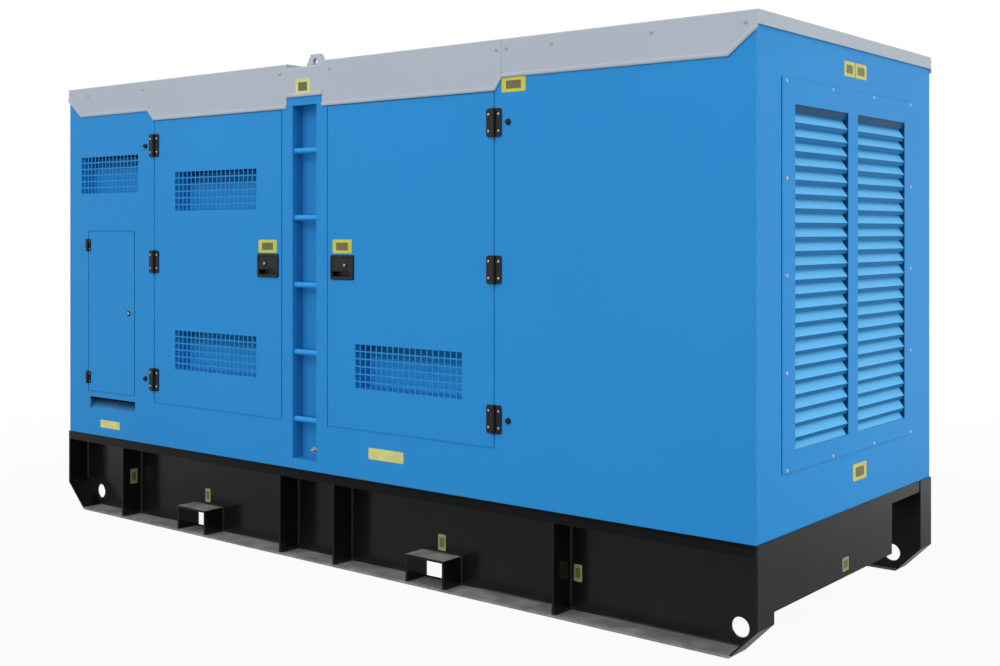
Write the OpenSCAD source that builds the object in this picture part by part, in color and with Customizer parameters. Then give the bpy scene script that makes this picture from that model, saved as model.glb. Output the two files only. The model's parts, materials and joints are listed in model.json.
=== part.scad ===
// Enclosed diesel generator set: a welded skid that carries a folded sheet-metal canopy
// with hinged doors, louvred outlets, a step ladder let into each side and lifting plates.
// Sizes are in mm. X runs along the set towards the radiator outlet, Y across it and Z up.
// The origin is on the floor under the middle of the skid. The front side faces -Y.

/* [Overall] */
// Length of the skid and the roof along X
body_length = 4050; // [3850:10:4300]
// Width of the skid and the roof along Y
body_width = 1590; // [1450:10:1750]
// Height of the roof's top face above the floor
roof_top = 2210; // [2180:5:2300]
// Thickness of the canopy's folded sheet
sheet = 3; // [2:0.5:4]

/* [Skid] */
// Height of the skid from the floor to the canopy's lower edge
skid_height = 400; // [370:5:430]
// Distance from the skid's outer edge to the outer face of its side web
web_inset = 112; // [95:1:130]
// Thickness of the side webs
web_thickness = 10; // [6:1:14]
// Thickness of the top and bottom flanges
flange_thickness = 10; // [8:1:14]
// Height of the lip folded down from the top flange
chord_lip_height = 42; // [30:1:60]
// Thickness of the lip and of the ribs
rib_thickness = 10; // [6:1:14]
// Place along X of each stiffening rib
rib_places = [-1548, -362, -16, 1169];
// Length along X of the raked corner under the right end
right_rake_length = 111; // [90:1:130]
// Height of the raked corner under the right end
right_rake_height = 110; // [90:1:120]
// Length along X of the raked corner under the left end
left_rake_length = 137; // [115:1:142]
// Height of the raked corner under the left end
left_rake_height = 128; // [110:1:134]
// Radius of the drag hole in each side web
drag_hole_radius = 36; // [28:1:38]
// Distance from the skid's end to the drag hole's centre
drag_hole_from_end = 126; // [124:1:134]
// Height of the drag hole's centre above the floor
drag_hole_height = 78; // [70:1:90]

/* [Fork pockets] */
// Place along X of each fork pocket's middle
pocket_places = [-996, 517];
// Clear width of a fork pocket
pocket_width = 190; // [160:5:210]
// Clear height of a fork pocket above the bottom flange
pocket_height = 105; // [80:5:130]
// Thickness of the pocket's plates
pocket_plate = 10; // [8:1:14]

/* [Skid ends] */
// Height of the end fascia's lower edge above the floor
fascia_bottom = 150; // [120:5:180]
// How far the end fascia stands back from the raked corners' end plates
fascia_setback = 3; // [2:0.5:5]
// Width of the pipe notch at the rear end of each fascia
notch_width = 304; // [200:2:340]
// Height of the rail left above the pipe notch
notch_rail = 46; // [36:1:60]
// Height of the cross members under the deck
cross_height = 220; // [150:10:230]
// Width of the cross members' flanges
cross_width = 80; // [60:5:100]
// Thickness of the floor plate inside the canopy
deck_thickness = 5; // [4:1:8]

/* [Doors] */
// Place along X of the ladder column's middle
column_x = -202; // [-260:2:-140]
// Width of the ladder column between the two doorways
column_width = 290; // [270:2:330]
// Width of a main door leaf
leaf_width = 930; // [860:5:960]
// Depth of a main door leaf's folded edge
leaf_depth = 38; // [30:1:44]
// Gap all round a door leaf
door_gap = 7; // [6:0.5:10]
// Gap for the seal between a closed leaf and the frame flange behind it
seal_gap = 6; // [5.5:0.5:9]
// Height of the sill panel under the main doors
sill_height = 205; // [170:5:240]
// Width of the frame flange behind a leaf's edge
stop_width = 24; // [18:1:30]

/* [Small access door] */
// Distance from the end wall to the access door's hinged edge
access_from_end = 171; // [150:1:185]
// Distance from the access door's free edge to the left main doorway
access_from_doorway = 164; // [140:1:200]
// Height of the access door leaf's lower edge above the floor
access_bottom = 630; // [615:5:660]
// Distance from the access door leaf's upper edge up to the bay's vent
access_below_vent = 201; // [80:1:300]
// Depth of the access door leaf's folded edge
access_depth = 22; // [16:1:28]

/* [Air slot] */
// Distance from the end wall to the air slot
slot_from_end = 183; // [155:1:205]
// Distance from the air slot to the left main doorway
slot_from_doorway = 156; // [130:1:190]
// Height of the air slot's opening
slot_height = 62; // [40:1:64]
// Height of the air slot's lower edge above the floor
slot_bottom = 536; // [510:2:545]
// Radius of the air slot's corners
slot_corner = 8; // [4:1:15]
// Depth to which the flap behind the air slot leans inwards
flap_depth = 40; // [30:1:50]
// Height of the flap's upper edge above the slot's lower edge
flap_height = 47; // [36:1:56]
// Thickness of the flap, measured upright
flap_thickness = 5; // [4:0.5:7]
// Distance from the slot's lower edge down to the flap's foot
flap_foot = 8; // [6:1:12]

/* [Ladder] */
// Clear width of the recess for the rungs
recess_width = 155; // [140:1:200]
// Depth of the recess for the rungs
recess_depth = 62; // [50:1:80]
// Height of the recess's lower edge above the floor
recess_bottom = 445; // [430:5:470]
// Distance from the recess's upper edge up to the roof's top face
recess_from_top = 189; // [170:1:220]
// Height of the lowest rung above the floor
rung_start = 620; // [600:5:660]
// Distance from one rung to the next
rung_pitch = 300; // [280:1:320]
// Least height left over the top rung in the recess
rung_headroom = 100; // [60:5:150]
// Radius of a rung
rung_radius = 13; // [9:1:15]
// Distance from the side's face back to the rungs
rung_setback = 9; // [4:1:12]

/* [Roof] */
// Depth of the roof's skirt over the fixed panels
skirt_depth = 148; // [120:2:170]
// Depth of the roof's skirt over the doors
door_skirt_depth = 197; // [180:1:215]
// Depth of the roof's skirt at the two ends
end_skirt_depth = 50; // [35:1:65]
// Length along X of the slanted step in the skirt beside the left door
left_step_length = 49; // [30:1:60]
// Length along X of the slanted step in the skirt beside the right door
right_step_length = 35; // [25:1:44]
// Length along X of the slanted corner at each end of the skirt
corner_step_length = 112; // [90:2:140]
// Radius of the roof's outer edges along X
roof_radius = 5; // [4.5:0.5:12]
// How far the roof is lower over the ladder columns
bridge_drop = 18; // [12:1:30]
// How far each roof section reaches over the ladder column's edge
bridge_lap = 30; // [20:1:44]
// Place along X of the joint between the two right-hand roof sections
roof_joint = 921; // [915:1:1000]

/* [Lifting plates] */
// Width of a lifting plate at its base
lug_base = 124; // [100:2:140]
// Width of a lifting plate at its top
lug_crown = 58; // [48:2:70]
// Height of a lifting plate above the low part of the roof
lug_height = 61; // [54:1:72]
// Thickness of a lifting plate
lug_thickness = 20; // [15:1:24]
// Radius of the lifting hole
lug_hole_radius = 15; // [12:0.5:17]
// Height of the lifting hole above the low part of the roof
lug_hole_height = 28; // [24:1:30]
// How far a lifting plate reaches down behind the ladder's back plate
lug_tail = 320; // [200:10:500]

/* [Side vents] */
// Width of the vents in the doors
vent_width = 600; // [500:5:620]
// Height of the vents
vent_height = 188; // [150:2:200]
// Number of rows of openings in a vent
vent_rows = 6; // [4:1:8]
// Height of the bar between two rows
vent_bar = 6; // [4:0.5:8]
// Distance from the left door's hinged edge to its vents
left_vent_from_edge = 160; // [140:1:180]
// Distance from the right door's free edge to its vent
right_vent_from_edge = 166; // [140:1:180]
// Distance from a leaf's lower edge up to the lower vents
low_vent_rise = 176; // [150:1:220]
// Distance from the left leaf's upper edge down to the upper vent's lower edge
high_vent_drop = 446; // [400:1:500]
// Distance from the end wall to the bay's vent
bay_vent_from_end = 105; // [90:1:120]
// Distance from the bay's vent to the left main doorway
bay_vent_from_doorway = 130; // [100:1:150]
// Distance from the roof's top face down to the bay vent's lower edge
bay_vent_drop = 553; // [500:1:600]
// Depth of the upright part of the scoop behind a vent
scoop_depth = 92; // [70:1:100]
// Depth of the scoop's leaning top
scoop_reach = 148; // [110:1:160]
// Share of the vent's height at which the scoop starts to lean inwards
scoop_share = 0.66; // [0.5:0.01:0.8]

/* [Radiator outlet] */
// Width of the bolted louvre panel
outlet_width = 1210; // [1150:10:1300]
// Height of the bolted louvre panel's lower edge above the floor
outlet_bottom = 611; // [580:1:640]
// Distance from the bolted louvre panel's upper edge up to the roof's top face
outlet_from_top = 209; // [190:1:240]
// Height of the plain strip below the louvres
low_strip = 75; // [72:1:100]
// Height of the plain strip above the louvres
high_strip = 91; // [60:1:100]
// Number of louvres in a column
louvre_count = 24; // [18:1:26]
// Length of a louvre in the front column
louvre_front_length = 452; // [400:2:470]
// Length of a louvre in the rear column
louvre_rear_length = 472; // [400:2:490]
// Width of the web between the two columns of louvres
louvre_web = 88; // [60:2:100]
// Distance from the panel's front edge to the first column of louvres
louvre_margin = 100; // [80:2:120]
// Distance from the skid's end in to the louvre panel's face
outlet_inset = 4; // [2:0.5:8]
// Height of a blade's sloping face, from its outer lip up
louvre_rise = 31; // [26:1:34]
// Depth of a blade's sloping face
louvre_depth = 21; // [18:1:26]
// Height of the rain stop folded up behind the sloping face
louvre_stop = 7; // [5:1:10]
// Height of the fold turned back below a blade's outer lip
louvre_fold = 16; // [10:1:18]
// Depth of the fold turned back below a blade's outer lip
louvre_fold_depth = 8; // [5:1:12]
// Thickness of a blade, measured along X
louvre_thickness = 2.4; // [1.8:0.2:3]
// Distance from the opening's lower edge down to the lowest blade's outer lip
louvre_low_lap = 8; // [4:1:9]
// Distance from the opening's upper edge down to where one more blade would sit
louvre_top_gap = 12; // [4:1:20]
// Width of the end wall's border behind the louvre panel's edges
outlet_border = 42; // [30:1:45]

/* [Hinges] */
// Height of a main hinge
hinge_height = 112; // [90:2:130]
// Width of a main hinge from edge to edge
hinge_width = 74; // [64:2:88]
// Radius of the outer corners of a hinge's wings
hinge_corner = 10; // [6:1:14]
// Thickness of a hinge's wings
hinge_wing = 6; // [4:0.5:7]
// Radius of a hinge's knuckle
knuckle_radius = 9; // [8:0.5:11]
// Radius of a hinge's pin
pin_radius = 4; // [3:0.5:5]
// Distance from a leaf's lower edge to the lower hinge's middle
low_hinge_inset = 112; // [90:1:140]
// Distance from a leaf's upper edge to the upper hinge's middle
high_hinge_inset = 121; // [90:1:140]
// Height of a hinge on the access door
small_hinge_height = 62; // [50:1:70]
// Width of a hinge on the access door
small_hinge_width = 44; // [38:2:50]
// Distance from the access door's corners to the middles of its hinges
small_hinge_inset = 68; // [50:1:100]

/* [Latches] */
// Width of a paddle latch's plate
latch_width = 142; // [120:2:150]
// Height of a paddle latch's plate
latch_height = 108; // [90:2:120]
// Distance from a door's free edge to the latch's middle
latch_from_edge = 88; // [80:1:100]
// Distance from a leaf's middle down to the latch's middle
latch_drop = 5; // [-60:1:60]
// Radius of the access door's lock
lock_radius = 14; // [10:1:18]
// Radius of a rubber door buffer
buffer_radius = 13; // [10:1:16]
// Distance from a hinge's pin to the buffer's middle
buffer_from_pin = 70; // [62:1:84]
// Height of a door buffer's base
buffer_base = 6; // [5:1:9]
// Height of a door buffer's cap above its base
buffer_cap = 8; // [5:1:12]

/* [Part to show] */
// Name of the one part to draw, or all

/* [Hidden] */

$fn = 32;
half_length = body_length / 2;
half_width = body_width / 2;
// A hair that makes a cut run past the face it opens
cut = 1;
// Outer faces of the side walls, the louvre panel and the end walls, inside the roof's skirt
wall_y = half_width - sheet;
panel_face = half_length - outlet_inset;
wall_x = panel_face - sheet;
// Lower edge of the walls, upper edge of the walls
wall_bottom = skid_height;
wall_top = roof_top - roof_radius;
// Skid: web faces and the space between the flanges
web_y = half_width - web_inset;
web_in = web_y - web_thickness;
chord_under = skid_height - flange_thickness;
end_plate = flange_thickness;
left_rake_end = -half_length + left_rake_length;
right_rake_end = half_length - right_rake_length;
// Doorways
column_left = column_x - column_width / 2;
column_right = column_x + column_width / 2;
opening_width = leaf_width + 2 * door_gap;
left_opening = column_left - opening_width;
right_opening_end = column_right + opening_width;
sill_top = skid_height + sill_height;
leaf_bottom = sill_top + door_gap;
leaf_top = roof_top - door_skirt_depth - door_gap;
leaf_height = leaf_top - leaf_bottom;
// Distance from a wall's face to the back of the frame flange behind a leaf
frame_depth = leaf_depth + seal_gap + sheet;
head_bottom = leaf_top + door_gap - stop_width;
// Vent in the fixed bay, and the access door under it
bay_vent_left = -wall_x + bay_vent_from_end;
bay_vent_width = left_opening - bay_vent_from_doorway - bay_vent_left;
bay_vent_bottom = roof_top - bay_vent_drop;
access_left = -wall_x + access_from_end;
access_right = left_opening - access_from_doorway;
access_width = access_right - access_left;
access_top = bay_vent_bottom - access_below_vent;
access_height = access_top - access_bottom;
// Hinges: pins stand off the wall by the knuckle and a hair
hinge_standoff = 0.5;
pin_y = wall_y + knuckle_radius + hinge_standoff;
left_pin_x = left_opening + door_gap / 2;
right_pin_x = right_opening_end - door_gap / 2;
access_pin_x = access_left - door_gap / 2;
hinge_middle = (leaf_bottom + leaf_top) / 2;
hinge_heights = [leaf_bottom + low_hinge_inset, hinge_middle, leaf_top - high_hinge_inset];
pin_clearance = 0.05;
knuckle_gap = 0.5;
knuckle_sides = 12;
pin_sides = 16;
small_knuckle = 6.5;
small_wing = 4;
small_pin = 3;
small_corner = 6;
small_pin_y = wall_y + small_knuckle + hinge_standoff;
small_hinge_heights = [access_bottom + small_hinge_inset, access_top - small_hinge_inset];
// Air slot
slot_width = left_opening - slot_from_doorway + wall_x - slot_from_end;
slot_x = -wall_x + slot_from_end + slot_width / 2;
// Roof
bridge_top = roof_top - bridge_drop;
column_top = bridge_top - roof_radius;
bridge_left = column_left + bridge_lap;
bridge_right = column_right - bridge_lap;
skirt_edge = roof_top - skirt_depth;
door_skirt_edge = roof_top - door_skirt_depth;
end_skirt_edge = roof_top - end_skirt_depth;
// Height at which the skirt's slanted corner meets the roof's end
corner_lip = 10;
corner_edge = end_skirt_edge - corner_lip;
below_skirt = door_skirt_edge - cut;
roof_joint_gap = 0.6;
// Ladder recess
recess_top = roof_top - recess_from_top;
rung_count = floor((recess_top - rung_headroom - rung_start) / rung_pitch) + 1;
recess_left = column_x - recess_width / 2;
recess_back = wall_y - recess_depth;
rung_y = wall_y - rung_setback - rung_radius;
// Lifting plates stand against the backs of the recess pans
lug_back = recess_back - sheet - lug_thickness;
lug_slot_gap = 0.3;
// Vents
low_vent_bottom = leaf_bottom + low_vent_rise;
high_vent_bottom = leaf_top - high_vent_drop;
left_vent_x = left_opening + door_gap + left_vent_from_edge;
right_vent_x = column_right + door_gap + right_vent_from_edge;
vent_row = (vent_height + vent_bar) / vent_rows;
scoop_fold = vent_height * scoop_share;
scoop_top = vent_height + sheet;
// Latches
left_latch_x = column_left - door_gap - latch_from_edge;
right_latch_x = column_right + door_gap + latch_from_edge;
latch_middle = (leaf_bottom + leaf_top) / 2 - latch_drop;
latch_plate = 5;
latch_case_depth = 24;
latch_rim = 12;
latch_wall = 2;
latch_corner = 9;
paddle_gap = 22;
lock_from_edge = 46;
lock_x = access_right - lock_from_edge;
lock_z = access_bottom + access_height / 2;
lock_rim = 3;
lock_barrel = lock_radius - lock_rim;
lock_clearance = 0.3;
lock_length = 20;
// Radiator outlet
outlet_left = -outlet_width / 2;
outlet_top = roof_top - outlet_from_top;
louvre_bottom = outlet_bottom + low_strip;
louvre_bank = outlet_top - high_strip - louvre_bottom;
louvre_top = louvre_bottom + louvre_bank;
// Outer lip of the lowest blade, and the step from one blade to the next
louvre_start = louvre_bottom - louvre_low_lap;
louvre_pitch = (louvre_bank + louvre_low_lap - louvre_top_gap) / louvre_count;
header_fold = louvre_fold + louvre_top_gap;
front_louvres = outlet_left + louvre_margin;
rear_louvres = front_louvres + louvre_front_length + louvre_web;
// Rubber buffers and earthing studs
buffer_taper = 4;
buffer_sides = 12;
stud_height = 36;
washer_radius = 15;
washer_thickness = 4;
nut_radius = 10;
nut_height = 8;
stud_radius = 5;
stud_length = 22;

// Colours
steel_black = [0.06, 0.06, 0.065];
canopy_blue = [0.10, 0.30, 0.60];
roof_grey = [0.55, 0.58, 0.62];
fitting_black = [0.02, 0.02, 0.02];
bare_metal = [0.6, 0.6, 0.62];

// A box between two corners
module block(low, high) {
  translate(low) cube([high[0] - low[0], high[1] - low[1], high[2] - low[2]]);
}

// A flat rectangle about the origin with round corners
module rounded_rectangle(width, height, radius) {
  square([width - 2 * radius, height], center = true);
  square([width, height - 2 * radius], center = true);
  for (x = [-1, 1], y = [-1, 1])
    translate([x * (width / 2 - radius), y * (height / 2 - radius)]) circle(r = radius);
}

// The rear side is the front side seen in a mirror
module rear() {
  mirror([0, 1, 0]) children();
}

// ---- Skid ----

// A side web with its raked lower corners, fork openings and drag holes
module skid_web() {
  translate([0, -web_in, 0]) rotate([90, 0, 0])
    difference() {
      linear_extrude(web_thickness) web_outline();
      for (side = [-1, 1])
        translate([side * (half_length - drag_hole_from_end), drag_hole_height, -cut])
          cylinder(h = web_thickness + 2 * cut, r = drag_hole_radius);
      for (place = pocket_places)
        translate([place - pocket_width / 2, -cut, -cut])
          cube([pocket_width, flange_thickness + pocket_height + cut, web_thickness + 2 * cut]);
    }
}

module web_outline() {
  polygon([
    [left_rake_end, flange_thickness], [right_rake_end, flange_thickness],
    [half_length - end_plate, right_rake_height], [half_length - end_plate, chord_under],
    [-half_length + end_plate, chord_under], [-half_length + end_plate, left_rake_height]
  ]);
}

// The top flange with the lip folded down along its outer edge
module skid_top_chord() {
  translate([-half_length + end_plate, 0, 0]) rotate([90, 0, 90])
    linear_extrude(body_length - 2 * end_plate)
      polygon([
        [-half_width, skid_height], [-half_width, skid_height - chord_lip_height],
        [-half_width + rib_thickness, skid_height - chord_lip_height],
        [-half_width + rib_thickness, chord_under], [-web_in, chord_under],
        [-web_in, skid_height]
      ]);
}

module skid_bottom_flange() {
  block([left_rake_end, -half_width, 0], [right_rake_end, -web_in, flange_thickness]);
}

// Upright ribs that fill the channel between the flanges
module skid_ribs() {
  for (place = rib_places)
    translate([place + rib_thickness / 2, 0, 0]) rotate([90, 0, -90])
      linear_extrude(rib_thickness)
        polygon([
          [web_y, flange_thickness], [half_width, flange_thickness],
          [half_width, skid_height - chord_lip_height],
          [half_width - rib_thickness, skid_height - chord_lip_height],
          [half_width - rib_thickness, chord_under], [web_y, chord_under]
        ]);
}

// Sleeves that line the fork openings out to the flange's edge
module fork_pockets() {
  for (place = pocket_places)
    translate([place, -web_y, 0]) rotate([90, 0, 0])
      linear_extrude(web_inset)
        difference() {
          translate([-pocket_width / 2 - pocket_plate, flange_thickness])
            square([pocket_width + 2 * pocket_plate, pocket_height + pocket_plate]);
          translate([-pocket_width / 2, flange_thickness - cut])
            square([pocket_width, pocket_height + cut]);
        }
}

// End plate and raked sole plate at the front corner of the right end
module skid_corner(length, height) {
  foot = half_length - length;
  translate([0, -web_in, 0]) rotate([90, 0, 0])
    linear_extrude(web_inset + web_thickness)
      polygon([
        [half_length - end_plate, skid_height], [half_length, skid_height],
        [half_length, height], [foot, 0], [foot, flange_thickness],
        [half_length - end_plate, height]
      ]);
}

module skid_corners() {
  for (side = [0, 1])
    mirror([0, side, 0]) {
      skid_corner(right_rake_length, right_rake_height);
      mirror([1, 0, 0]) skid_corner(left_rake_length, left_rake_height);
    }
}

// Fascia across one end, notched at the rear for pipes
module skid_end() {
  translate([half_length - end_plate, 0, 0]) rotate([90, 0, 90])
    linear_extrude(end_plate - fascia_setback)
      polygon([
        [-web_in, fascia_bottom], [web_in - notch_width, fascia_bottom],
        [web_in - notch_width, skid_height - notch_rail],
        [web_in, skid_height - notch_rail], [web_in, skid_height], [-web_in, skid_height]
      ]);
}

// Channels across the skid, one at each pair of ribs
module skid_cross_members() {
  for (place = rib_places)
    translate([place, web_in, skid_height - deck_thickness]) rotate([90, 0, 0])
      linear_extrude(2 * web_in)
        difference() {
          translate([-cross_width / 2, -cross_height]) square([cross_width, cross_height]);
          translate([-cross_width / 2 + rib_thickness, -cross_height + rib_thickness])
            square([cross_width, cross_height - 2 * rib_thickness]);
        }
}

module canopy_floor() {
  block([-half_length + end_plate, -web_in, skid_height - deck_thickness],
        [half_length - end_plate, web_in, skid_height]);
}

// ---- Side walls ----

// Plan of a wall sheet's edge at a doorway: face, folded jamb and frame flange.
// The doorway lies towards +X.
module jamb_plan() {
  translate([-sheet, -wall_y]) square([sheet, frame_depth]);
  translate([-sheet, -wall_y + frame_depth - sheet]) square([stop_width + sheet, sheet]);
}

// Fixed bay at the control end, with its vent, access doorway and air slot
module bay_panel() {
  difference() {
    translate([0, 0, wall_bottom]) linear_extrude(wall_top - wall_bottom) {
      translate([-wall_x, -wall_y]) square([wall_x + left_opening, sheet]);
      translate([left_opening, 0]) jamb_plan();
    }
    // Doorway flange stops at the sill and head
    block([left_opening, -wall_y - cut, wall_bottom - cut],
          [left_opening + stop_width + cut, -wall_y + frame_depth + cut, sill_top + stop_width]);
    block([left_opening, -wall_y - cut, head_bottom],
          [left_opening + stop_width + cut, -wall_y + frame_depth + cut, wall_top + cut]);
    grille_cut(bay_vent_left, bay_vent_bottom, bay_vent_width);
    block([access_left - door_gap, -wall_y - cut, access_bottom - door_gap],
          [access_right + door_gap, -wall_y + sheet + cut, access_top + door_gap]);
    air_slot_cut();
  }
  access_frame();
  slot_flap();
}

// Air slot with round corners
module air_slot_cut() {
  translate([slot_x, -wall_y + sheet + cut, slot_bottom + slot_height / 2]) rotate([90, 0, 0])
    linear_extrude(sheet + 2 * cut)
      rounded_rectangle(slot_width, slot_height, slot_corner);
}

// Flap that leans inwards behind the air slot, with a cheek at each end
module slot_flap() {
  foot = -flap_foot;
  translate([slot_x - slot_width / 2 - sheet, -wall_y, slot_bottom])
    difference() {
      rotate([90, 0, 90]) linear_extrude(slot_width + 2 * sheet)
        polygon([[sheet, foot], [flap_depth, flap_height], [sheet, flap_height]]);
      translate([sheet, 0, 0]) rotate([90, 0, 90]) linear_extrude(slot_width)
        polygon([
          [0, foot + flap_thickness], [sheet, foot + flap_thickness],
          [flap_depth, flap_height + flap_thickness], [0, flap_height + flap_thickness]
        ]);
    }
}

// Folded frame behind the access door's edge
module access_frame() {
  deep = access_depth + seal_gap + sheet;
  inner = stop_width - sheet;
  difference() {
    block([access_left - door_gap - sheet, -wall_y + sheet, access_bottom - door_gap - sheet],
          [access_right + door_gap + sheet, -wall_y + deep, access_top + door_gap + sheet]);
    block([access_left - door_gap, -wall_y, access_bottom - door_gap],
          [access_right + door_gap, -wall_y + deep - sheet, access_top + door_gap]);
    block([access_left + inner, -wall_y, access_bottom + inner],
          [access_right - inner, -wall_y + deep + cut, access_top - inner]);
  }
}

// Sill panels under the two main doors, folded in at the top with a frame flange
module door_sills() {
  for (start = [left_opening, column_right])
    translate([start, 0, 0]) rotate([90, 0, 90])
      linear_extrude(opening_width)
        polygon([
          [-wall_y, wall_bottom], [-wall_y, sill_top], [-wall_y + frame_depth - sheet, sill_top],
          [-wall_y + frame_depth - sheet, sill_top + stop_width],
          [-wall_y + frame_depth, sill_top + stop_width],
          [-wall_y + frame_depth, sill_top - sheet], [-wall_y + sheet, sill_top - sheet],
          [-wall_y + sheet, wall_bottom]
        ]);
}

// Heads over the two main doors, behind the roof's skirt
module door_heads() {
  for (start = [left_opening, column_right])
    translate([start, 0, 0]) rotate([90, 0, 90])
      linear_extrude(opening_width)
        polygon([
          [-wall_y, wall_top], [-wall_y, door_skirt_edge],
          [-wall_y + frame_depth - sheet, door_skirt_edge],
          [-wall_y + frame_depth - sheet, head_bottom], [-wall_y + frame_depth, head_bottom],
          [-wall_y + frame_depth, door_skirt_edge + sheet], [-wall_y + sheet, door_skirt_edge + sheet],
          [-wall_y + sheet, wall_top]
        ]);
}

// Column between the doors, with the pan that the rungs cross
module ladder_column() {
  difference() {
    union() {
      translate([0, 0, wall_bottom]) linear_extrude(column_top - wall_bottom) {
        translate([column_left, -wall_y]) square([column_width, sheet]);
        translate([column_right, 0]) jamb_plan();
        translate([column_left, 0]) mirror([1, 0]) jamb_plan();
      }
      block([recess_left - sheet, -wall_y, recess_bottom - sheet],
            [recess_left + recess_width + sheet, -recess_back + sheet, recess_top + sheet]);
    }
    block([recess_left, -wall_y - cut, recess_bottom],
          [recess_left + recess_width, -recess_back, recess_top]);
    for (side = [0, 1])
      translate([column_x, 0, 0]) mirror([side, 0, 0]) {
        block([column_width / 2, -wall_y - cut, wall_bottom - cut],
              [column_width / 2 + stop_width + cut, -wall_y + frame_depth + cut,
               sill_top + stop_width]);
        block([column_width / 2, -wall_y - cut, head_bottom],
              [column_width / 2 + stop_width + cut, -wall_y + frame_depth + cut, wall_top]);
      }
  }
}

module ladder_rungs() {
  for (step = [0 : rung_count - 1])
    translate([recess_left, -rung_y, rung_start + step * rung_pitch]) rotate([0, 90, 0])
      cylinder(h = recess_width, r = rung_radius);
}

// Plain panel at the radiator end
module right_panel() {
  difference() {
    translate([0, 0, wall_bottom]) linear_extrude(wall_top - wall_bottom) {
      translate([right_opening_end, -wall_y]) square([wall_x - right_opening_end, sheet]);
      translate([right_opening_end, 0]) mirror([1, 0]) jamb_plan();
    }
    block([right_opening_end - stop_width - cut, -wall_y - cut, wall_bottom - cut],
          [right_opening_end, -wall_y + frame_depth + cut, sill_top + stop_width]);
    block([right_opening_end - stop_width - cut, -wall_y - cut, head_bottom],
          [right_opening_end, -wall_y + frame_depth + cut, wall_top + cut]);
  }
}

// ---- End walls ----

module end_sheet() {
  block([wall_x - sheet, -wall_y + sheet, wall_bottom], [wall_x, wall_y - sheet, wall_top]);
}

// Radiator end, open behind the louvre panel
module end_wall_right() {
  difference() {
    end_sheet();
    block([wall_x - sheet - cut, outlet_left + outlet_border, outlet_bottom + outlet_border],
          [wall_x + cut, -outlet_left - outlet_border, outlet_top - outlet_border]);
  }
}

module end_wall_left() {
  mirror([1, 0, 0]) end_sheet();
}

// Bolted sheet with two columns of openings, each with a cheek at both ends and a header
module louvre_panel() {
  difference() {
    block([wall_x, outlet_left, outlet_bottom], [panel_face, -outlet_left, outlet_top]);
    louvre_opening(front_louvres, louvre_front_length);
    louvre_opening(rear_louvres, louvre_rear_length);
  }
  louvre_surround(front_louvres, louvre_front_length);
  louvre_surround(rear_louvres, louvre_rear_length);
}

module louvre_opening(start, length) {
  block([wall_x - cut, start, louvre_bottom], [panel_face + cut, start + length, louvre_top]);
}

// Cheeks that carry the ends of one column of blades, and the header folded in above them
module louvre_surround(start, length) {
  for (edge = [start - louvre_thickness, start + length])
    block([wall_x - louvre_depth - louvre_thickness, edge, louvre_start - louvre_fold],
          [wall_x, edge + louvre_thickness, louvre_top]);
  translate([wall_x, start + length, louvre_top]) rotate([90, 0, 0])
    linear_extrude(length)
      polygon([
        [0, 0], [0, sheet], [-louvre_thickness, sheet], [-louvre_thickness, 0],
        [-louvre_fold_depth - louvre_thickness, -header_fold], [-louvre_fold_depth, -header_fold]
      ]);
}

// Blades that slope up and inwards from an outer lip
module louvre_blades() {
  for (step = [0 : louvre_count - 1])
    for (column = [[front_louvres, louvre_front_length], [rear_louvres, louvre_rear_length]])
      translate([wall_x, column[0] + column[1], louvre_start + step * louvre_pitch])
        rotate([90, 0, 0]) linear_extrude(column[1]) louvre_profile();
}

// Fold below the lip, sloping face above it and rain stop at the back
module louvre_profile() {
  back = -louvre_depth - louvre_thickness;
  polygon([
    [0, 0], [-louvre_depth, louvre_rise], [-louvre_depth, louvre_rise + louvre_stop],
    [back, louvre_rise + louvre_stop], [back, louvre_rise], [-louvre_thickness, 0],
    [-louvre_fold_depth - louvre_thickness, -louvre_fold], [-louvre_fold_depth, -louvre_fold]
  ]);
}

// ---- Vents ----

// Rows of openings in a panel's skin with its lower left corner at [left, low]
module grille_cut(left, low, width) {
  for (row = [0 : vent_rows - 1])
    block([left, -wall_y - cut, low + row * vent_row],
          [left + width, -wall_y + sheet + cut, low + (row + 1) * vent_row - vent_bar]);
}

// Scoop that turns the air upwards behind a grille: closed below and at its sides, and open
// at the top behind the skin. The grille's lower left corner is at the origin and the
// panel's face at Y = 0.
module scoop(width) {
  difference() {
    translate([-sheet, 0, 0]) rotate([90, 0, 90])
      linear_extrude(width + 2 * sheet)
        polygon([
          [sheet, -sheet], [scoop_depth, -sheet], [scoop_depth, scoop_fold],
          [scoop_reach, scoop_top], [sheet, scoop_top]
        ]);
    rotate([90, 0, 90])
      linear_extrude(width)
        polygon([
          [0, 0], [scoop_depth - sheet, 0], [scoop_depth - sheet, scoop_fold + sheet / 2],
          [scoop_reach - sheet, scoop_top + sheet / 2], [0, scoop_top + sheet / 2]
        ]);
  }
}

module bay_vent() {
  translate([bay_vent_left, -wall_y, bay_vent_bottom]) scoop(bay_vent_width);
}

module left_door_vents() {
  for (low = [low_vent_bottom, high_vent_bottom])
    translate([left_vent_x, -wall_y, low]) scoop(vent_width);
}

module right_door_vents() {
  translate([right_vent_x, -wall_y, low_vent_bottom]) scoop(vent_width);
}

module rear_vents() {
  rear() left_door_vents();
  rear() right_door_vents();
}

// ---- Doors ----

// Folded tray with its lower left corner at [left, -wall_y, bottom]
module leaf(left, bottom, width, height, depth) {
  translate([left, -wall_y, bottom])
    difference() {
      cube([width, depth, height]);
      translate([sheet, sheet, sheet]) cube([width - 2 * sheet, depth, height - 2 * sheet]);
    }
}

// Opening for a latch's case
module latch_cut(x) {
  half_w = latch_width / 2 - latch_rim;
  half_h = latch_height / 2 - latch_rim;
  block([x - half_w, -wall_y - cut, latch_middle - half_h],
        [x + half_w, -wall_y + sheet + cut, latch_middle + half_h]);
}

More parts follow.
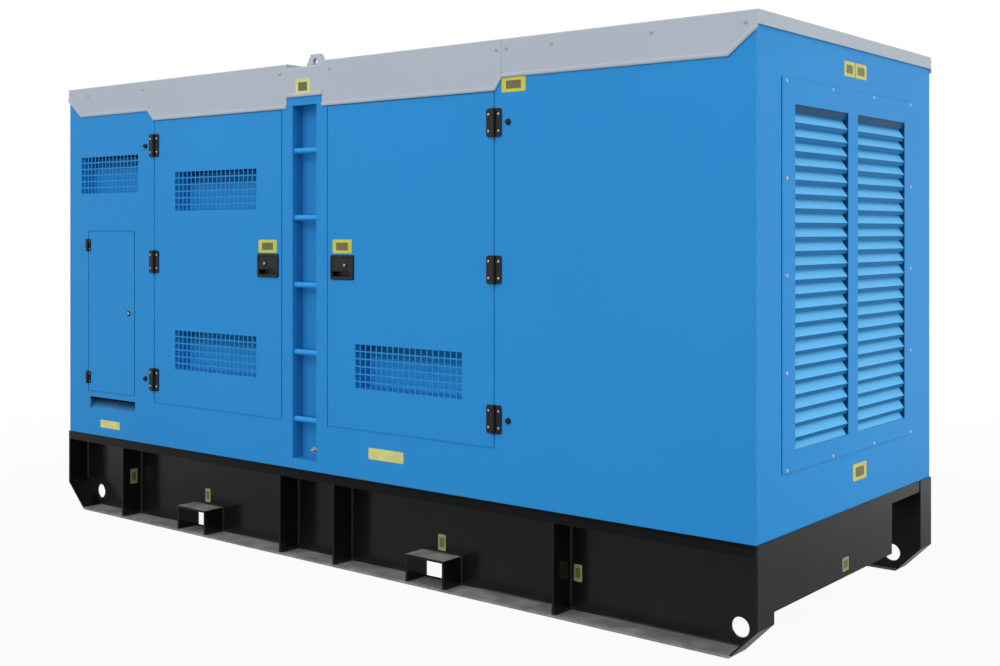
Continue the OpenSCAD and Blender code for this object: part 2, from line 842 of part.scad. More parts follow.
module left_door() {
  difference() {
    leaf(left_opening + door_gap, leaf_bottom, leaf_width, leaf_height, leaf_depth);
    grille_cut(left_vent_x, low_vent_bottom, vent_width);
    grille_cut(left_vent_x, high_vent_bottom, vent_width);
    latch_cut(left_latch_x);
  }
}

module right_door() {
  difference() {
    leaf(column_right + door_gap, leaf_bottom, leaf_width, leaf_height, leaf_depth);
    grille_cut(right_vent_x, low_vent_bottom, vent_width);
    latch_cut(right_latch_x);
  }
}

// Lock hole in the access door's skin
module access_leaf() {
  difference() {
    leaf(access_left, access_bottom, access_width, access_height, access_depth);
    translate([lock_x, -wall_y + sheet + cut, lock_z]) rotate([90, 0, 0])
      cylinder(h = sheet + 2 * cut, r = lock_barrel + lock_clearance);
  }
}

// The rear side's leaves
module rear_leaves() {
  rear() left_door();
  rear() right_door();
  rear() access_leaf();
}

// ---- Hinges, latches and buffers ----

// Wing of a hinge about Z = 0, from X = 0 to its rounded outer edge, with its back at
// Y = thickness
module hinge_plate(width, height, thickness, corner) {
  translate([0, thickness, 0]) rotate([90, 0, 0])
    linear_extrude(thickness) {
      translate([0, -height / 2]) square([width - corner, height]);
      translate([0, -height / 2 + corner]) square([width, height - 2 * corner]);
      for (side = [-1, 1])
        translate([width - corner, side * (height / 2 - corner)])
          circle(r = corner, $fn = knuckle_sides);
    }
}

// Fixed side of a hinge: wing on the wall, two outer knuckles and the pin.
// The wing lies towards -X of the pin.
module fixed_hinge(height, wing_width, wing, knuckle, pin, corner) {
  third = height / 3;
  for (low = [-height / 2, height / 2 - third])
    translate([0, 0, low]) cylinder(h = third, r = knuckle, $fn = knuckle_sides);
  translate([0, 0, -third / 2 - knuckle_gap])
    cylinder(h = third + 2 * knuckle_gap, r = pin, $fn = pin_sides);
  translate([0, knuckle + hinge_standoff - wing, 0])
    difference() {
      mirror([1, 0, 0]) hinge_plate(wing_width, height, wing, corner);
      block([-knuckle - knuckle_gap, -cut, -third / 2 - knuckle_gap],
            [cut, wing + cut, third / 2 + knuckle_gap]);
    }
}

// Moving side of a hinge: wing on the leaf and the middle knuckle. The wing lies towards +X.
module moving_hinge(height, wing_width, wing, knuckle, pin, corner) {
  third = height / 3;
  reach = third + knuckle_gap + cut;
  difference() {
    union() {
      translate([0, 0, -third / 2 + knuckle_gap])
        cylinder(h = third - 2 * knuckle_gap, r = knuckle, $fn = knuckle_sides);
      translate([0, knuckle + hinge_standoff - wing, 0])
        difference() {
          hinge_plate(wing_width, height, wing, corner);
          for (low = [-height / 2 - cut, height / 2 + cut - reach])
            block([-cut, -cut, low], [knuckle + knuckle_gap, wing + cut, low + reach]);
        }
    }
    translate([0, 0, -third])
      cylinder(h = 2 * third, r = pin + pin_clearance, $fn = pin_sides);
  }
}

module main_fixed_hinge() {
  fixed_hinge(hinge_height, hinge_width / 2, hinge_wing, knuckle_radius, pin_radius, hinge_corner);
}

module main_moving_hinge() {
  moving_hinge(hinge_height, hinge_width / 2, hinge_wing, knuckle_radius, pin_radius, hinge_corner);
}

module fixed_hinges() {
  for (z = hinge_heights) {
    translate([left_pin_x, -pin_y, z]) main_fixed_hinge();
    translate([right_pin_x, -pin_y, z]) mirror([1, 0, 0]) main_fixed_hinge();
  }
  for (z = small_hinge_heights)
    translate([access_pin_x, -small_pin_y, z])
      fixed_hinge(small_hinge_height, small_hinge_width / 2, small_wing, small_knuckle, small_pin,
                  small_corner);
}

module left_door_hinges() {
  for (z = hinge_heights)
    translate([left_pin_x, -pin_y, z]) main_moving_hinge();
}

module right_door_hinges() {
  for (z = hinge_heights)
    translate([right_pin_x, -pin_y, z]) mirror([1, 0, 0]) main_moving_hinge();
}

module access_hinges() {
  for (z = small_hinge_heights)
    translate([access_pin_x, -small_pin_y, z])
      moving_hinge(small_hinge_height, small_hinge_width / 2, small_wing, small_knuckle, small_pin,
                   small_corner);
}

// Paddle latch: rimmed plate, pan behind it and the paddle that is pulled
module paddle_latch(x) {
  inner_w = latch_width - 2 * latch_rim;
  inner_h = latch_height - 2 * latch_rim;
  pan_w = inner_w - 2 * latch_wall;
  pan_h = inner_h - 2 * latch_wall;
  translate([x, -wall_y, latch_middle]) {
    difference() {
      union() {
        rotate([90, 0, 0]) linear_extrude(latch_plate)
          rounded_rectangle(latch_width, latch_height, latch_corner);
        translate([-inner_w / 2, 0, -inner_h / 2]) cube([inner_w, latch_case_depth, inner_h]);
      }
      translate([-pan_w / 2, -latch_plate - cut, -pan_h / 2])
        cube([pan_w, latch_case_depth + latch_plate - latch_wall + cut, pan_h]);
    }
    translate([-pan_w / 2, 0, pan_h / 2]) rotate([0, 90, 0])
      linear_extrude(pan_w)
        polygon([
          [0, -latch_plate], [pan_h - paddle_gap, -latch_plate],
          [pan_h - paddle_gap, -latch_plate + latch_wall], [0, latch_plate]
        ]);
  }
}

module access_lock() {
  translate([lock_x, -wall_y, lock_z]) rotate([90, 0, 0]) {
    cylinder(h = sheet, r = lock_radius);
    translate([0, 0, -lock_length]) cylinder(h = lock_length, r = lock_barrel);
  }
}

// Rubber buffers beside the upper and lower hinges of one side
module side_buffers() {
  for (z = [hinge_heights[0], hinge_heights[2]],
       x = [left_pin_x - buffer_from_pin, right_pin_x + buffer_from_pin])
    translate([x, -wall_y, z]) rotate([90, 0, 0]) {
      cylinder(h = buffer_base, r = buffer_radius, $fn = buffer_sides);
      cylinder(h = buffer_base + buffer_cap, r = buffer_radius - buffer_taper, $fn = buffer_sides);
    }
}

module buffers() {
  side_buffers();
  rear() side_buffers();
}

// ---- Roof ----

// Folded roof channel from x0 to x1, open below
module roof_channel(x0, x1, top, depth) {
  translate([x0, 0, 0]) rotate([90, 0, 90])
    linear_extrude(x1 - x0)
      difference() {
        roof_outline(half_width, top, depth, roof_radius);
        roof_outline(half_width - sheet, top - sheet, depth + cut, roof_radius - sheet);
      }
}

// Cross-section with round upper corners
module roof_outline(half, top, depth, radius) {
  for (side = [-1, 1])
    translate([side * (half - radius), top - radius]) circle(r = radius);
  translate([-half + radius, top - radius]) square([2 * (half - radius), radius]);
  translate([-half, top - depth]) square([2 * half, depth - radius]);
}

// Sheet that closes an end of the roof down to the end skirt's edge
module roof_end() {
  translate([half_length - sheet, 0, 0]) rotate([90, 0, 90])
    linear_extrude(sheet)
      intersection() {
        roof_outline(half_width, roof_top, end_skirt_depth, roof_radius);
        translate([-half_width, end_skirt_edge]) square([body_width, end_skirt_depth]);
      }
}

// Everything below the skirt's stepped lower edge
module skirt_cut(points) {
  translate([0, half_width + cut, 0]) rotate([90, 0, 0])
    linear_extrude(body_width + 2 * cut) polygon(points);
}

// Flange folded down at an inner end of a roof section, beside the bridge
module roof_stop(x) {
  translate([x, 0, 0]) rotate([90, 0, 90])
    linear_extrude(sheet)
      intersection() {
        roof_outline(half_width, roof_top, door_skirt_depth, roof_radius);
        translate([-half_width, bridge_top - sheet]) square([body_width, bridge_drop + sheet]);
      }
}

module roof_left() {
  difference() {
    roof_channel(-half_length, bridge_left, roof_top, door_skirt_depth);
    skirt_cut([
      [-half_length - cut, corner_edge - cut], [-half_length, corner_edge],
      [-half_length + corner_step_length, skirt_edge],
      [left_opening - left_step_length, skirt_edge], [left_opening, door_skirt_edge],
      [left_opening, below_skirt], [-half_length - cut, below_skirt]
    ]);
  }
  mirror([1, 0, 0]) roof_end();
  roof_stop(bridge_left - sheet);
}

module roof_middle() {
  difference() {
    roof_channel(bridge_right, roof_joint - roof_joint_gap / 2, roof_top, door_skirt_depth);
    skirt_cut([
      [right_opening_end, door_skirt_edge], [right_opening_end + right_step_length, skirt_edge],
      [roof_joint + cut, skirt_edge], [roof_joint + cut, below_skirt],
      [right_opening_end, below_skirt]
    ]);
  }
  roof_stop(bridge_right);
}

module roof_right() {
  difference() {
    roof_channel(roof_joint + roof_joint_gap / 2, half_length, roof_top, skirt_depth);
    skirt_cut([
      [half_length + cut, corner_edge - cut], [half_length, corner_edge],
      [half_length - corner_step_length, skirt_edge],
      [half_length - corner_step_length, below_skirt], [half_length + cut, below_skirt]
    ]);
  }
  roof_end();
}

// Lower bridge over the ladder columns, between the roof sections, slotted for the plates
module roof_bridge() {
  difference() {
    translate([bridge_left, 0, 0]) rotate([90, 0, 90])
      linear_extrude(bridge_right - bridge_left)
        difference() {
          roof_outline(half_width, bridge_top, skirt_depth - bridge_drop, roof_radius);
          roof_outline(half_width - sheet, bridge_top - sheet, skirt_depth, roof_radius - sheet);
        }
    for (side = [0, 1])
      mirror([0, side, 0])
        block([column_x - lug_base / 2 - lug_slot_gap, -lug_back - lug_thickness - lug_slot_gap,
               bridge_top - sheet - cut],
              [column_x + lug_base / 2 + lug_slot_gap, -lug_back + lug_slot_gap, bridge_top + cut]);
  }
}

// Plates that carry the shackles, with rounded crowns and true holes
module lifting_plates() {
  for (side = [0, 1])
    mirror([0, side, 0])
      translate([column_x, -lug_back, bridge_top]) rotate([90, 0, 0])
        difference() {
          linear_extrude(lug_thickness)
            polygon([
              [-lug_base / 2, -lug_tail], [lug_base / 2, -lug_tail], [lug_base / 2, 0],
              [lug_crown / 2, lug_height], [-lug_crown / 2, lug_height], [-lug_base / 2, 0]
            ]);
          translate([0, lug_hole_height, -cut])
            cylinder(h = lug_thickness + 2 * cut, r = lug_hole_radius);
        }
}

// Earthing studs on the back plates of the ladder recesses
module earth_studs() {
  for (side = [0, 1])
    mirror([0, side, 0])
      translate([column_x, -recess_back, recess_bottom + stud_height]) rotate([90, 0, 0]) {
        cylinder(h = washer_thickness, r = washer_radius, $fn = buffer_sides);
        cylinder(h = washer_thickness + nut_height, r = nut_radius, $fn = 6);
        cylinder(h = stud_length, r = stud_radius);
      }
}

// ---- Fittings of each leaf ----

module left_fittings() {
  left_door_hinges();
  paddle_latch(left_latch_x);
}

module right_fittings() {
  right_door_hinges();
  paddle_latch(right_latch_x);
}

module access_fittings() {
  access_hinges();
  access_lock();
}

module rear_fittings() {
  rear() left_fittings();
  rear() right_fittings();
  rear() access_fittings();
}

// ---- Drawing ----

color(steel_black) skid_web();  // skid_web_front
color(steel_black) rear() skid_web();  // skid_web_rear
color(steel_black) skid_top_chord();  // skid_top_chord_front
color(steel_black) rear() skid_top_chord();  // skid_top_chord_rear
color(steel_black) skid_bottom_flange();  // skid_bottom_flange_front
color(steel_black) rear() skid_bottom_flange();  // skid_bottom_flange_rear
color(steel_black) skid_ribs();  // skid_ribs_front
color(steel_black) rear() skid_ribs();  // skid_ribs_rear
color(steel_black) fork_pockets();  // fork_pockets_front
color(steel_black) rear() fork_pockets();  // fork_pockets_rear
color(steel_black) skid_corners();
color(steel_black) skid_end();  // skid_end_right
color(steel_black) mirror([1, 0, 0]) skid_end();  // skid_end_left
color(steel_black) skid_cross_members();
color(steel_black) canopy_floor();
color(canopy_blue) bay_panel();  // bay_panel_front
color(canopy_blue) rear() bay_panel();  // bay_panel_rear
color(canopy_blue) door_sills();  // door_sills_front
color(canopy_blue) rear() door_sills();  // door_sills_rear
color(canopy_blue) door_heads();  // door_heads_front
color(canopy_blue) rear() door_heads();  // door_heads_rear
color(canopy_blue) ladder_column();  // ladder_column_front
color(canopy_blue) rear() ladder_column();  // ladder_column_rear
color(canopy_blue) ladder_rungs();  // ladder_rungs_front
color(canopy_blue) rear() ladder_rungs();  // ladder_rungs_rear
color(canopy_blue) right_panel();  // right_panel_front
color(canopy_blue) rear() right_panel();  // right_panel_rear
color(canopy_blue) end_wall_right();
color(canopy_blue) end_wall_left();
color(canopy_blue) louvre_panel();
color(canopy_blue) louvre_blades();
color(roof_grey) roof_left();
color(roof_grey) roof_bridge();
color(roof_grey) roof_middle();
color(roof_grey) roof_right();
color(roof_grey) lifting_plates();
color(bare_metal) earth_studs();
color(canopy_blue) bay_vent();  // bay_vent_front
color(canopy_blue) rear() bay_vent();  // bay_vent_rear
color(fitting_black) fixed_hinges();  // fixed_hinges_front
color(fitting_black) rear() fixed_hinges();  // fixed_hinges_rear
color(fitting_black) buffers();  // door_buffers
color(canopy_blue) rear_leaves();  // rear_doors
color(canopy_blue) rear_vents();  // rear_door_vents
color(fitting_black) rear_fittings();  // rear_door_fittings
color(canopy_blue) left_door();  // front_left_door
color(canopy_blue) left_door_vents();  // front_left_door_vents
color(fitting_black) left_fittings();  // front_left_door_fittings
color(canopy_blue) right_door();  // front_right_door
color(canopy_blue) right_door_vents();  // front_right_door_vents
color(fitting_black) right_fittings();  // front_right_door_fittings
color(canopy_blue) access_leaf();  // access_door
color(fitting_black) access_fittings();  // access_door_fittings
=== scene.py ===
import json
import math

import bpy
import numpy as np
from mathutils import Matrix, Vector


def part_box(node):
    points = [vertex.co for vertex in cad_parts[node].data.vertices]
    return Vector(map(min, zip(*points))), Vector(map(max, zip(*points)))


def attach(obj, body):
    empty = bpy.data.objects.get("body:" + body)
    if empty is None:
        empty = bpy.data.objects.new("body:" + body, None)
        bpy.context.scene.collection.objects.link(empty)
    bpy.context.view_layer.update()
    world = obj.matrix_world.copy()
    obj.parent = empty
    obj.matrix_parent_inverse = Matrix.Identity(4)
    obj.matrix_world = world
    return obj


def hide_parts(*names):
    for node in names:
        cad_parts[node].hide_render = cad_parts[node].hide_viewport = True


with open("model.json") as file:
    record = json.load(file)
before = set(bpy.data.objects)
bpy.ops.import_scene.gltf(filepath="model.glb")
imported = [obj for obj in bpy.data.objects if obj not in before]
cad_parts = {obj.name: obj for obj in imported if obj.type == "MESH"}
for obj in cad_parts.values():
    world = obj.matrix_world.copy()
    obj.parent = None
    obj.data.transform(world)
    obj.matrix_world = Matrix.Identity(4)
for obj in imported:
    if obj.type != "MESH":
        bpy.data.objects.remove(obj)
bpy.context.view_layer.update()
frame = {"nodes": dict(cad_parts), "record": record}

bl_info = {
    "name": "Generator Set Finish",
    "version": (1, 0, 0),
    "blender": (4, 5, 0),
    "location": "3D View > Sidebar > Genset",
    "description": "Paints an enclosed diesel generator set and fits its small hardware",
    "category": "Object",
}

# ---------------------------------------------------------------------------
# Places read from the frame, in metres. The front side faces -Y.
# ---------------------------------------------------------------------------

LEFT_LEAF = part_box("front_left_door")
RIGHT_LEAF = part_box("front_right_door")
ACCESS_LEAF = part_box("access_door")
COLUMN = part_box("ladder_column_front")
BAY_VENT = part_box("bay_vent_front")
LEFT_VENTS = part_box("front_left_door_vents")
RIGHT_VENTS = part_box("front_right_door_vents")
LOUVRE_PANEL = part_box("louvre_panel")
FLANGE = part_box("skid_bottom_flange_front")
ROOF_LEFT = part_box("roof_left")
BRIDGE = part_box("roof_bridge")
ROOF_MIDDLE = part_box("roof_middle")
ROOF_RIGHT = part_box("roof_right")
WALL_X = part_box("end_wall_right")[1].x
WALL_Y = LEFT_LEAF[0].y
ROOF_Y = BRIDGE[0].y
WEB_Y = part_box("skid_web_front")[0].y
FASCIA_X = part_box("skid_end_right")[1].x
SKID_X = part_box("skid_corners")[1].x
SKID_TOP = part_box("skid_corners")[1].z

# Sizes that the panels and the skid were made with.
SHEET = 0.003
DOOR_GAP = 0.007
LEFT_PIN = LEFT_LEAF[0].x - DOOR_GAP / 2
RIGHT_PIN = RIGHT_LEAF[1].x + DOOR_GAP / 2
ACCESS_PIN = ACCESS_LEAF[0].x - DOOR_GAP / 2
HINGE_LOW = LEFT_LEAF[0].z + 0.112
HINGE_HIGH = LEFT_LEAF[1].z - 0.121
LEAF_MIDDLE = (LEFT_LEAF[0].z + LEFT_LEAF[1].z) / 2
RIB_PLACES = (-1.548, -0.362, -0.016, 1.169)
RIB_HALF = 0.005
POCKET_PLACES = (-0.996, 0.517)
POCKET_HALF = 0.105
POCKET_HEIGHT = 0.115

BODY = "genset_body"
DOORS = ("front_left_door", "front_right_door", "access_door")

# The record's slot that each finish belongs to. Labels have none.
FINISH_SLOTS = {
    "skid": "skid_paint", "canopy": "canopy_paint", "roof": "roof_paint",
    "fittings": "black_fittings", "rubber": "buffer_rubber", "zinc": "stud_metal"}

# CAD nodes whose finish differs from the plain one of their slot.
OWN_FINISHES = {
    # The bay, surround and column finishes darken their recesses towards the back with painted
    # shade.
    "bay_panel_front": "bay", "bay_panel_rear": "bay",
    # The louvre finish has a painted highlight on faces that look up and painted shade on faces
    # that look down.
    "louvre_panel": "surround", "louvre_blades": "louvre",
    "skid_top_chord_front": "chord", "skid_top_chord_rear": "chord",
    "ladder_column_front": "column", "ladder_column_rear": "column",
    # The pale finish is the canopy's blue made a quarter lighter: painted light on the rungs and in
    # the vents' scoops.
    "ladder_rungs_front": "pale", "ladder_rungs_rear": "pale",
    "bay_vent_front": "pale", "bay_vent_rear": "pale", "rear_door_vents": "pale",
    "front_left_door_vents": "pale", "front_right_door_vents": "pale"}

# Colours of dirt and age, and of painted shade and highlight, in linear red, green and blue.
LEDGE_DUST = (0.36, 0.34, 0.30)
# Pale grey on the skid's flanges: yard dust, and on their tops a painted highlight as well.
YARD_DUST_AND_SHEEN = (0.37, 0.365, 0.35)
FLOOR_DIRT = (0.12, 0.11, 0.10)
# Near-black of the painted shadow line along the skid's top, under the canopy's edge.
PAINTED_SHADOW_LINE = (0.002, 0.002, 0.002)
# Pale blue of the painted highlight on louvre faces that look up.
PAINTED_HIGHLIGHT_BLUE = (0.19, 0.64, 1.0)


# ---------------------------------------------------------------------------
# Settings
# ---------------------------------------------------------------------------

def colour(name, description, default):
    return bpy.props.FloatVectorProperty(
        name=name, description=description, subtype="COLOR", size=3, min=0.0, max=1.0,
        default=default)


def length(name, description, default, low=0.0001, high=1.0):
    return bpy.props.FloatProperty(
        name=name, description=description, unit="LENGTH", subtype="DISTANCE",
        precision=4, min=low, max=high, default=default)


def power(name, description, default):
    return bpy.props.FloatProperty(
        name=name, description=description, subtype="POWER", min=0.0, default=default)


class GensetPaintSettings(bpy.types.PropertyGroup):
    """Colours of the set's finishes"""

    canopy: colour("Canopy", "Powder coat of the panels and doors", (0.0235, 0.240, 0.575))
    roof: colour("Roof", "Powder coat of the roof and lifting plates", (0.383, 0.427, 0.478))
    skid: colour("Skid", "Paint of the welded skid", (0.0045, 0.0045, 0.0048))
    fittings: colour("Fittings", "Hinges and latches", (0.0045, 0.0045, 0.0050))
    rubber: colour("Rubber", "Seals and buffers", (0.014, 0.014, 0.016))
    zinc: colour("Zinc", "Plated screws, studs and key barrels", (0.50, 0.50, 0.48))
    label: colour("Labels", "Yellow film of the blank self-adhesive labels", (0.53, 0.50, 0.050))
    plate: colour("Pale labels", "Film of the long labels and the one over the ladder",
                  (0.62, 0.60, 0.20))
    # The skid's labels take this darker, greyer film: dust, and painted shade.
    faded: colour("Faded labels", "Dusty film of the skid's labels", (0.27, 0.26, 0.12))
    ink: colour("Label ink", "Plain printed field inside the labels", (0.115, 0.110, 0.035))


class GensetHardwareSettings(bpy.types.PropertyGroup):
    """Sizes of the small hardware"""

    grille_bar: length("Grille bar", "Width of the bars between the grille's openings", 0.006)
    grille_pitch: length("Grille pitch", "Distance from one upright bar to the next", 0.0319)
    vent_height: length("Vent height", "Height of a side vent's openings", 0.188)
    screw_radius: length("Screw head", "Radius of the panel screws' heads", 0.0075)
    hinge_screw_radius: length("Hinge screw head", "Radius of the hinge screws' heads", 0.0054)
    label_thickness: length("Label thickness", "How far a label stands off its panel", 0.0008)
    label_corner: length("Label corner", "Radius of a label's corners", 0.005)
    seal_width: length("Seal width", "Width of the rubber seal behind a door's edge", 0.012)
    seal_height: length("Seal height", "Height of the rubber seal off its flange", 0.0056)
    weld_leg: length("Weld leg", "Leg of the fillet welds on the skid", 0.007)
    hem_height: length("Hem height", "Height of the rolled hem along the roof's skirt", 0.017)
    hem_depth: length("Hem depth", "How far the rolled hem stands off the skirt", 0.0045)


class GensetStageSettings(bpy.types.PropertyGroup):
    """Floor, lamps and sky"""

    overhead: power("Overhead lamp", "Power of the lamp above the set", 90.0)
    side: power("Side lamp", "Power of the high lamp before the doors", 415.0)
    end: power("End lamp", "Power of the high lamp before the radiator outlet", 130.0)
    side_fill: power("Side fill", "Power of the low lamp before the doors", 138.0)
    end_fill: power("End fill", "Power of the low lamp before the radiator outlet", 150.0)
    sky: bpy.props.FloatProperty(
        name="Sky", description="Strength of the even light all round", min=0.0, default=0.60)
    floor_radius: length("Floor", "Half of the floor's width", 40.0, 5.0, 200.0)


# ---------------------------------------------------------------------------
# Shapes: vertices with quads and triangles, worked out as whole arrays
# ---------------------------------------------------------------------------

class Shape:
    """Vertices (n, 3) with quads (m, 4) and triangles (k, 3) that face outwards."""

    def __init__(self, points, quads, triangles):
        self.points = np.asarray(points, float).reshape(-1, 3)
        self.quads = np.asarray(quads, int).reshape(-1, 4)
        self.triangles = np.asarray(triangles, int).reshape(-1, 3)

    def at(self, places):
        """The shape repeated at each place: every point plus every place."""
        places = np.asarray(places, float).reshape(-1, 3)
        points = (places[:, None, :] + self.points[None, :, :]).reshape(-1, 3)
        steps = np.arange(len(places)) * len(self.points)
        return Shape(
            points,
            (self.quads[None] + steps[:, None, None]).reshape(-1, 4),
            (self.triangles[None] + steps[:, None, None]).reshape(-1, 3))

    def turned(self, across, up, out):
        """The shape with its own X, Y and Z laid along three directions, which are right-handed."""
        return Shape(self.points @ np.array([across, up, out], float), self.quads, self.triangles)

    def mirrored(self, axis):
        """The shape seen in a mirror, with its faces' corners in reverse so they still face out."""
        flip = np.ones(3)
        flip[axis] = -1
        return Shape(self.points * flip, self.quads[:, ::-1], self.triangles[:, ::-1])


def joined(shapes):
    """One shape of several: points in a row, each shape's corners moved on by those before it."""
    shapes = list(shapes)
    starts = np.cumsum([0] + [len(s.points) for s in shapes[:-1]])
    return Shape(
        np.concatenate([s.points for s in shapes]),
        np.concatenate([s.quads + k for s, k in zip(shapes, starts)]),
        np.concatenate([s.triangles + k for s, k in zip(shapes, starts)]))


def on_front(shape):
    """A shape drawn in X across, Y up and Z out, laid on a face that looks to -Y."""
    return shape.turned((1, 0, 0), (0, 0, 1), (0, -1, 0))


def on_right(shape):
    """A shape drawn in X across, Y up and Z out, laid on a face that looks to +X."""
    return shape.turned((0, 1, 0), (0, 0, 1), (1, 0, 0))


def both_sides(shape):
    """A front shape and its mirror image on the rear side."""
    return joined([shape, shape.mirrored(1)])


def lofted(rings, closed_path=False):
    """Quads over a grid of rings. Point (i, j) joins (i+1, j), (i+1, j+1) and (i, j+1), with j
    taken round each ring. Each end is closed by triangles to the ring's mean point, unless the
    rings themselves come round to the first."""
    rings = np.asarray(rings, float)
    count, around = rings.shape[:2]
    index = np.arange(count * around).reshape(count, around)
    spans = count if closed_path else count - 1
    low = index[:spans]
    high = np.roll(index, -1, axis=0)[:spans]
    quads = np.stack([low, np.roll(low, -1, axis=1), np.roll(high, -1, axis=1), high], axis=-1)
    points = rings.reshape(-1, 3)
    triangles = np.zeros((0, 3), int)
    if not closed_path:
        first, last = index[0], index[-1]
        middle = len(points)
        points = np.concatenate([points, rings[[0, -1]].mean(axis=1)])
        triangles = np.concatenate([
            np.stack([np.roll(first, -1), first, np.full(around, middle)], axis=-1),
            np.stack([last, np.roll(last, -1), np.full(around, middle + 1)], axis=-1)])
    return Shape(points, quads, triangles)


def revolved(radii, heights, sides=20):
    """Lathe work about Z: ring k has radius radii[k] at height heights[k], and point j stands at
    angle 2 pi j / sides. Rings go from the back to the front, and both ends are closed."""
    turn = 2 * np.pi * np.arange(sides) / sides
    circle = np.stack([np.cos(turn), np.sin(turn), np.zeros(sides)], axis=-1)
    rings = np.asarray(radii, float)[:, None, None] * circle[None]
    rings[:, :, 2] = np.asarray(heights, float)[:, None]
    return lofted(rings)


def round_rectangle(width, height, radius, steps=5):
    """Outline anticlockwise: four quarter circles of the radius about the corners' centres."""
    quarter = np.linspace(0, np.pi / 2, steps)
    arcs = []
    for k, (sx, sy) in enumerate(((1, 1), (-1, 1), (-1, -1), (1, -1))):
        angle = quarter + k * np.pi / 2
        centre = np.array([sx * (width / 2 - radius), sy * (height / 2 - radius)])
        arcs.append(centre + radius * np.stack([np.cos(angle), np.sin(angle)], axis=-1))
    return np.concatenate(arcs)


def stacked(outline, sections):
    """Outlines one over another: section (inset, z) is what the function gives for the inset, at
    the height z."""
    rings = []
    for inset, z in sections:
        ring = outline(inset)
        rings.append(np.column_stack([ring, np.full(len(ring), z)]))
    return lofted(rings)


def cushion(width, height, radius, sections):
    """Stack of round rectangles: each has the width and height less twice its section's inset,
    and the radius less the inset, down to a fifth of a millimetre."""
    return stacked(
        lambda inset: round_rectangle(
            width - 2 * inset, height - 2 * inset, max(radius - inset, 0.0002)),
        sections)


def slab(width, height, depth):
    """A flat bar with its back at Z = 0, narrowed by a hair at its front edge."""
    edge = min(0.0006, depth / 4)
    corners = np.array([(1, 1), (-1, 1), (-1, -1), (1, -1)], float) / 2
    return stacked(
        lambda inset: corners * (width - 2 * inset, height - 2 * inset),
        ((0, 0), (0, depth - edge), (edge, depth)))


def half_round(width, height, steps=9, fullness=0.7):
    """Profile of a bead on a face, for a turn from 0 to pi: across by half the width times
    1 - cos, and out by the height times sin to the power of the fullness."""
    turn = np.linspace(0, np.pi, steps)
    return np.column_stack([
        width / 2 * (1 - np.cos(turn)), height * np.sin(turn) ** fullness])


def carried(path, across, profile):
    """A ring for each of the path's points: the profile's first number goes along that point's
    own direction across, and its second goes out along Z."""
    profile = np.asarray(profile, float)
    flat = path[:, None, :] + across[:, None, :] * profile[None, :, :1]
    rise = np.broadcast_to(profile[None, :, 1:], (len(path), len(profile), 1))
    return np.concatenate([flat, rise], axis=-1)


def moulding(path, profile):
    """A profile carried round a closed outline, along the inward normal at each point."""
    path = np.asarray(path, float)
    ahead = np.roll(path, -1, axis=0) - np.roll(path, 1, axis=0)
    ahead /= np.linalg.norm(ahead, axis=1)[:, None]
    inward = np.stack([-ahead[:, 1], ahead[:, 0]], axis=-1)
    return lofted(carried(path, inward, profile)[:, ::-1], closed_path=True)


def trim(path, profile):
    """A closed profile carried along an open line that never runs straight up: across the line,
    mitred at the bends by 1 over the cosine of half their angle, and cut upright at both ends."""
    path = np.asarray(path, float)
    step = np.diff(path, axis=0)
    step /= np.linalg.norm(step, axis=1)[:, None]
    ahead = np.concatenate([step[:1], step]) + np.concatenate([step, step[-1:]])
    ahead /= np.linalg.norm(ahead, axis=1)[:, None]
    across = np.stack([-ahead[:, 1], ahead[:, 0]], axis=-1)
    across[1:-1] /= np.sum(ahead[1:-1] * step[1:], axis=1)[:, None]
    across[[0, -1]] = np.stack([np.zeros(2), 1 / ahead[[0, -1], 0]], axis=-1)
    return lofted(carried(path, across, profile))


def weld_bead(start, end, side_a, side_b, leg, ripple=0.009):
    """A fillet along a line, with two rings to a ripple: each has the corner, one leg along
    either plate and a crown between them, and every second ring's legs are a tenth longer."""
    start, end, side_a, side_b = (np.asarray(v, float) for v in (start, end, side_a, side_b))
    count = max(int(np.linalg.norm(end - start) / ripple * 2), 4)
    swell = leg * (1 + 0.10 * (np.arange(count) % 2))
    line = start + np.linspace(0, 1, count)[:, None] * (end - start)
    a, b = swell[:, None] * side_a, swell[:, None] * side_b
    shape = lofted(np.stack([line, line + a, line + 0.62 * (a + b), line + b], axis=1))
    if np.dot(np.cross(side_a, side_b), end - start) < 0:
        shape = Shape(shape.points, shape.quads[:, ::-1], shape.triangles[:, ::-1])
    return shape


def pan_head(radius):
    """Pan-head screw: circles whose radii and heights are shares of the screw's radius, then a
    six-sided well, where a circle's point at an angle goes in to the hexagon's side."""
    dome_r = radius * np.array([1.0, 1.0, 0.97, 0.86, 0.70, 0.52])
    dome_z = radius * np.array([-0.10, 0.18, 0.34, 0.50, 0.58, 0.60])
    well_r = radius * 0.42
    sides = 18
    turn = 2 * np.pi * np.arange(sides) / sides
    circle = np.stack([np.cos(turn), np.sin(turn)], axis=-1)
    hexagon = circle / np.cos((turn % (np.pi / 3)) - np.pi / 6)[:, None] * math.cos(math.pi / 6)
    rings = [np.column_stack([circle * r, np.full(sides, z)]) for r, z in zip(dome_r, dome_z)]
    for z in (0.60 * radius, 0.25 * radius):
        rings.append(np.column_stack([hexagon * well_r, np.full(sides, z)]))
    return lofted(rings)


# ---------------------------------------------------------------------------
# Finishes
# ---------------------------------------------------------------------------

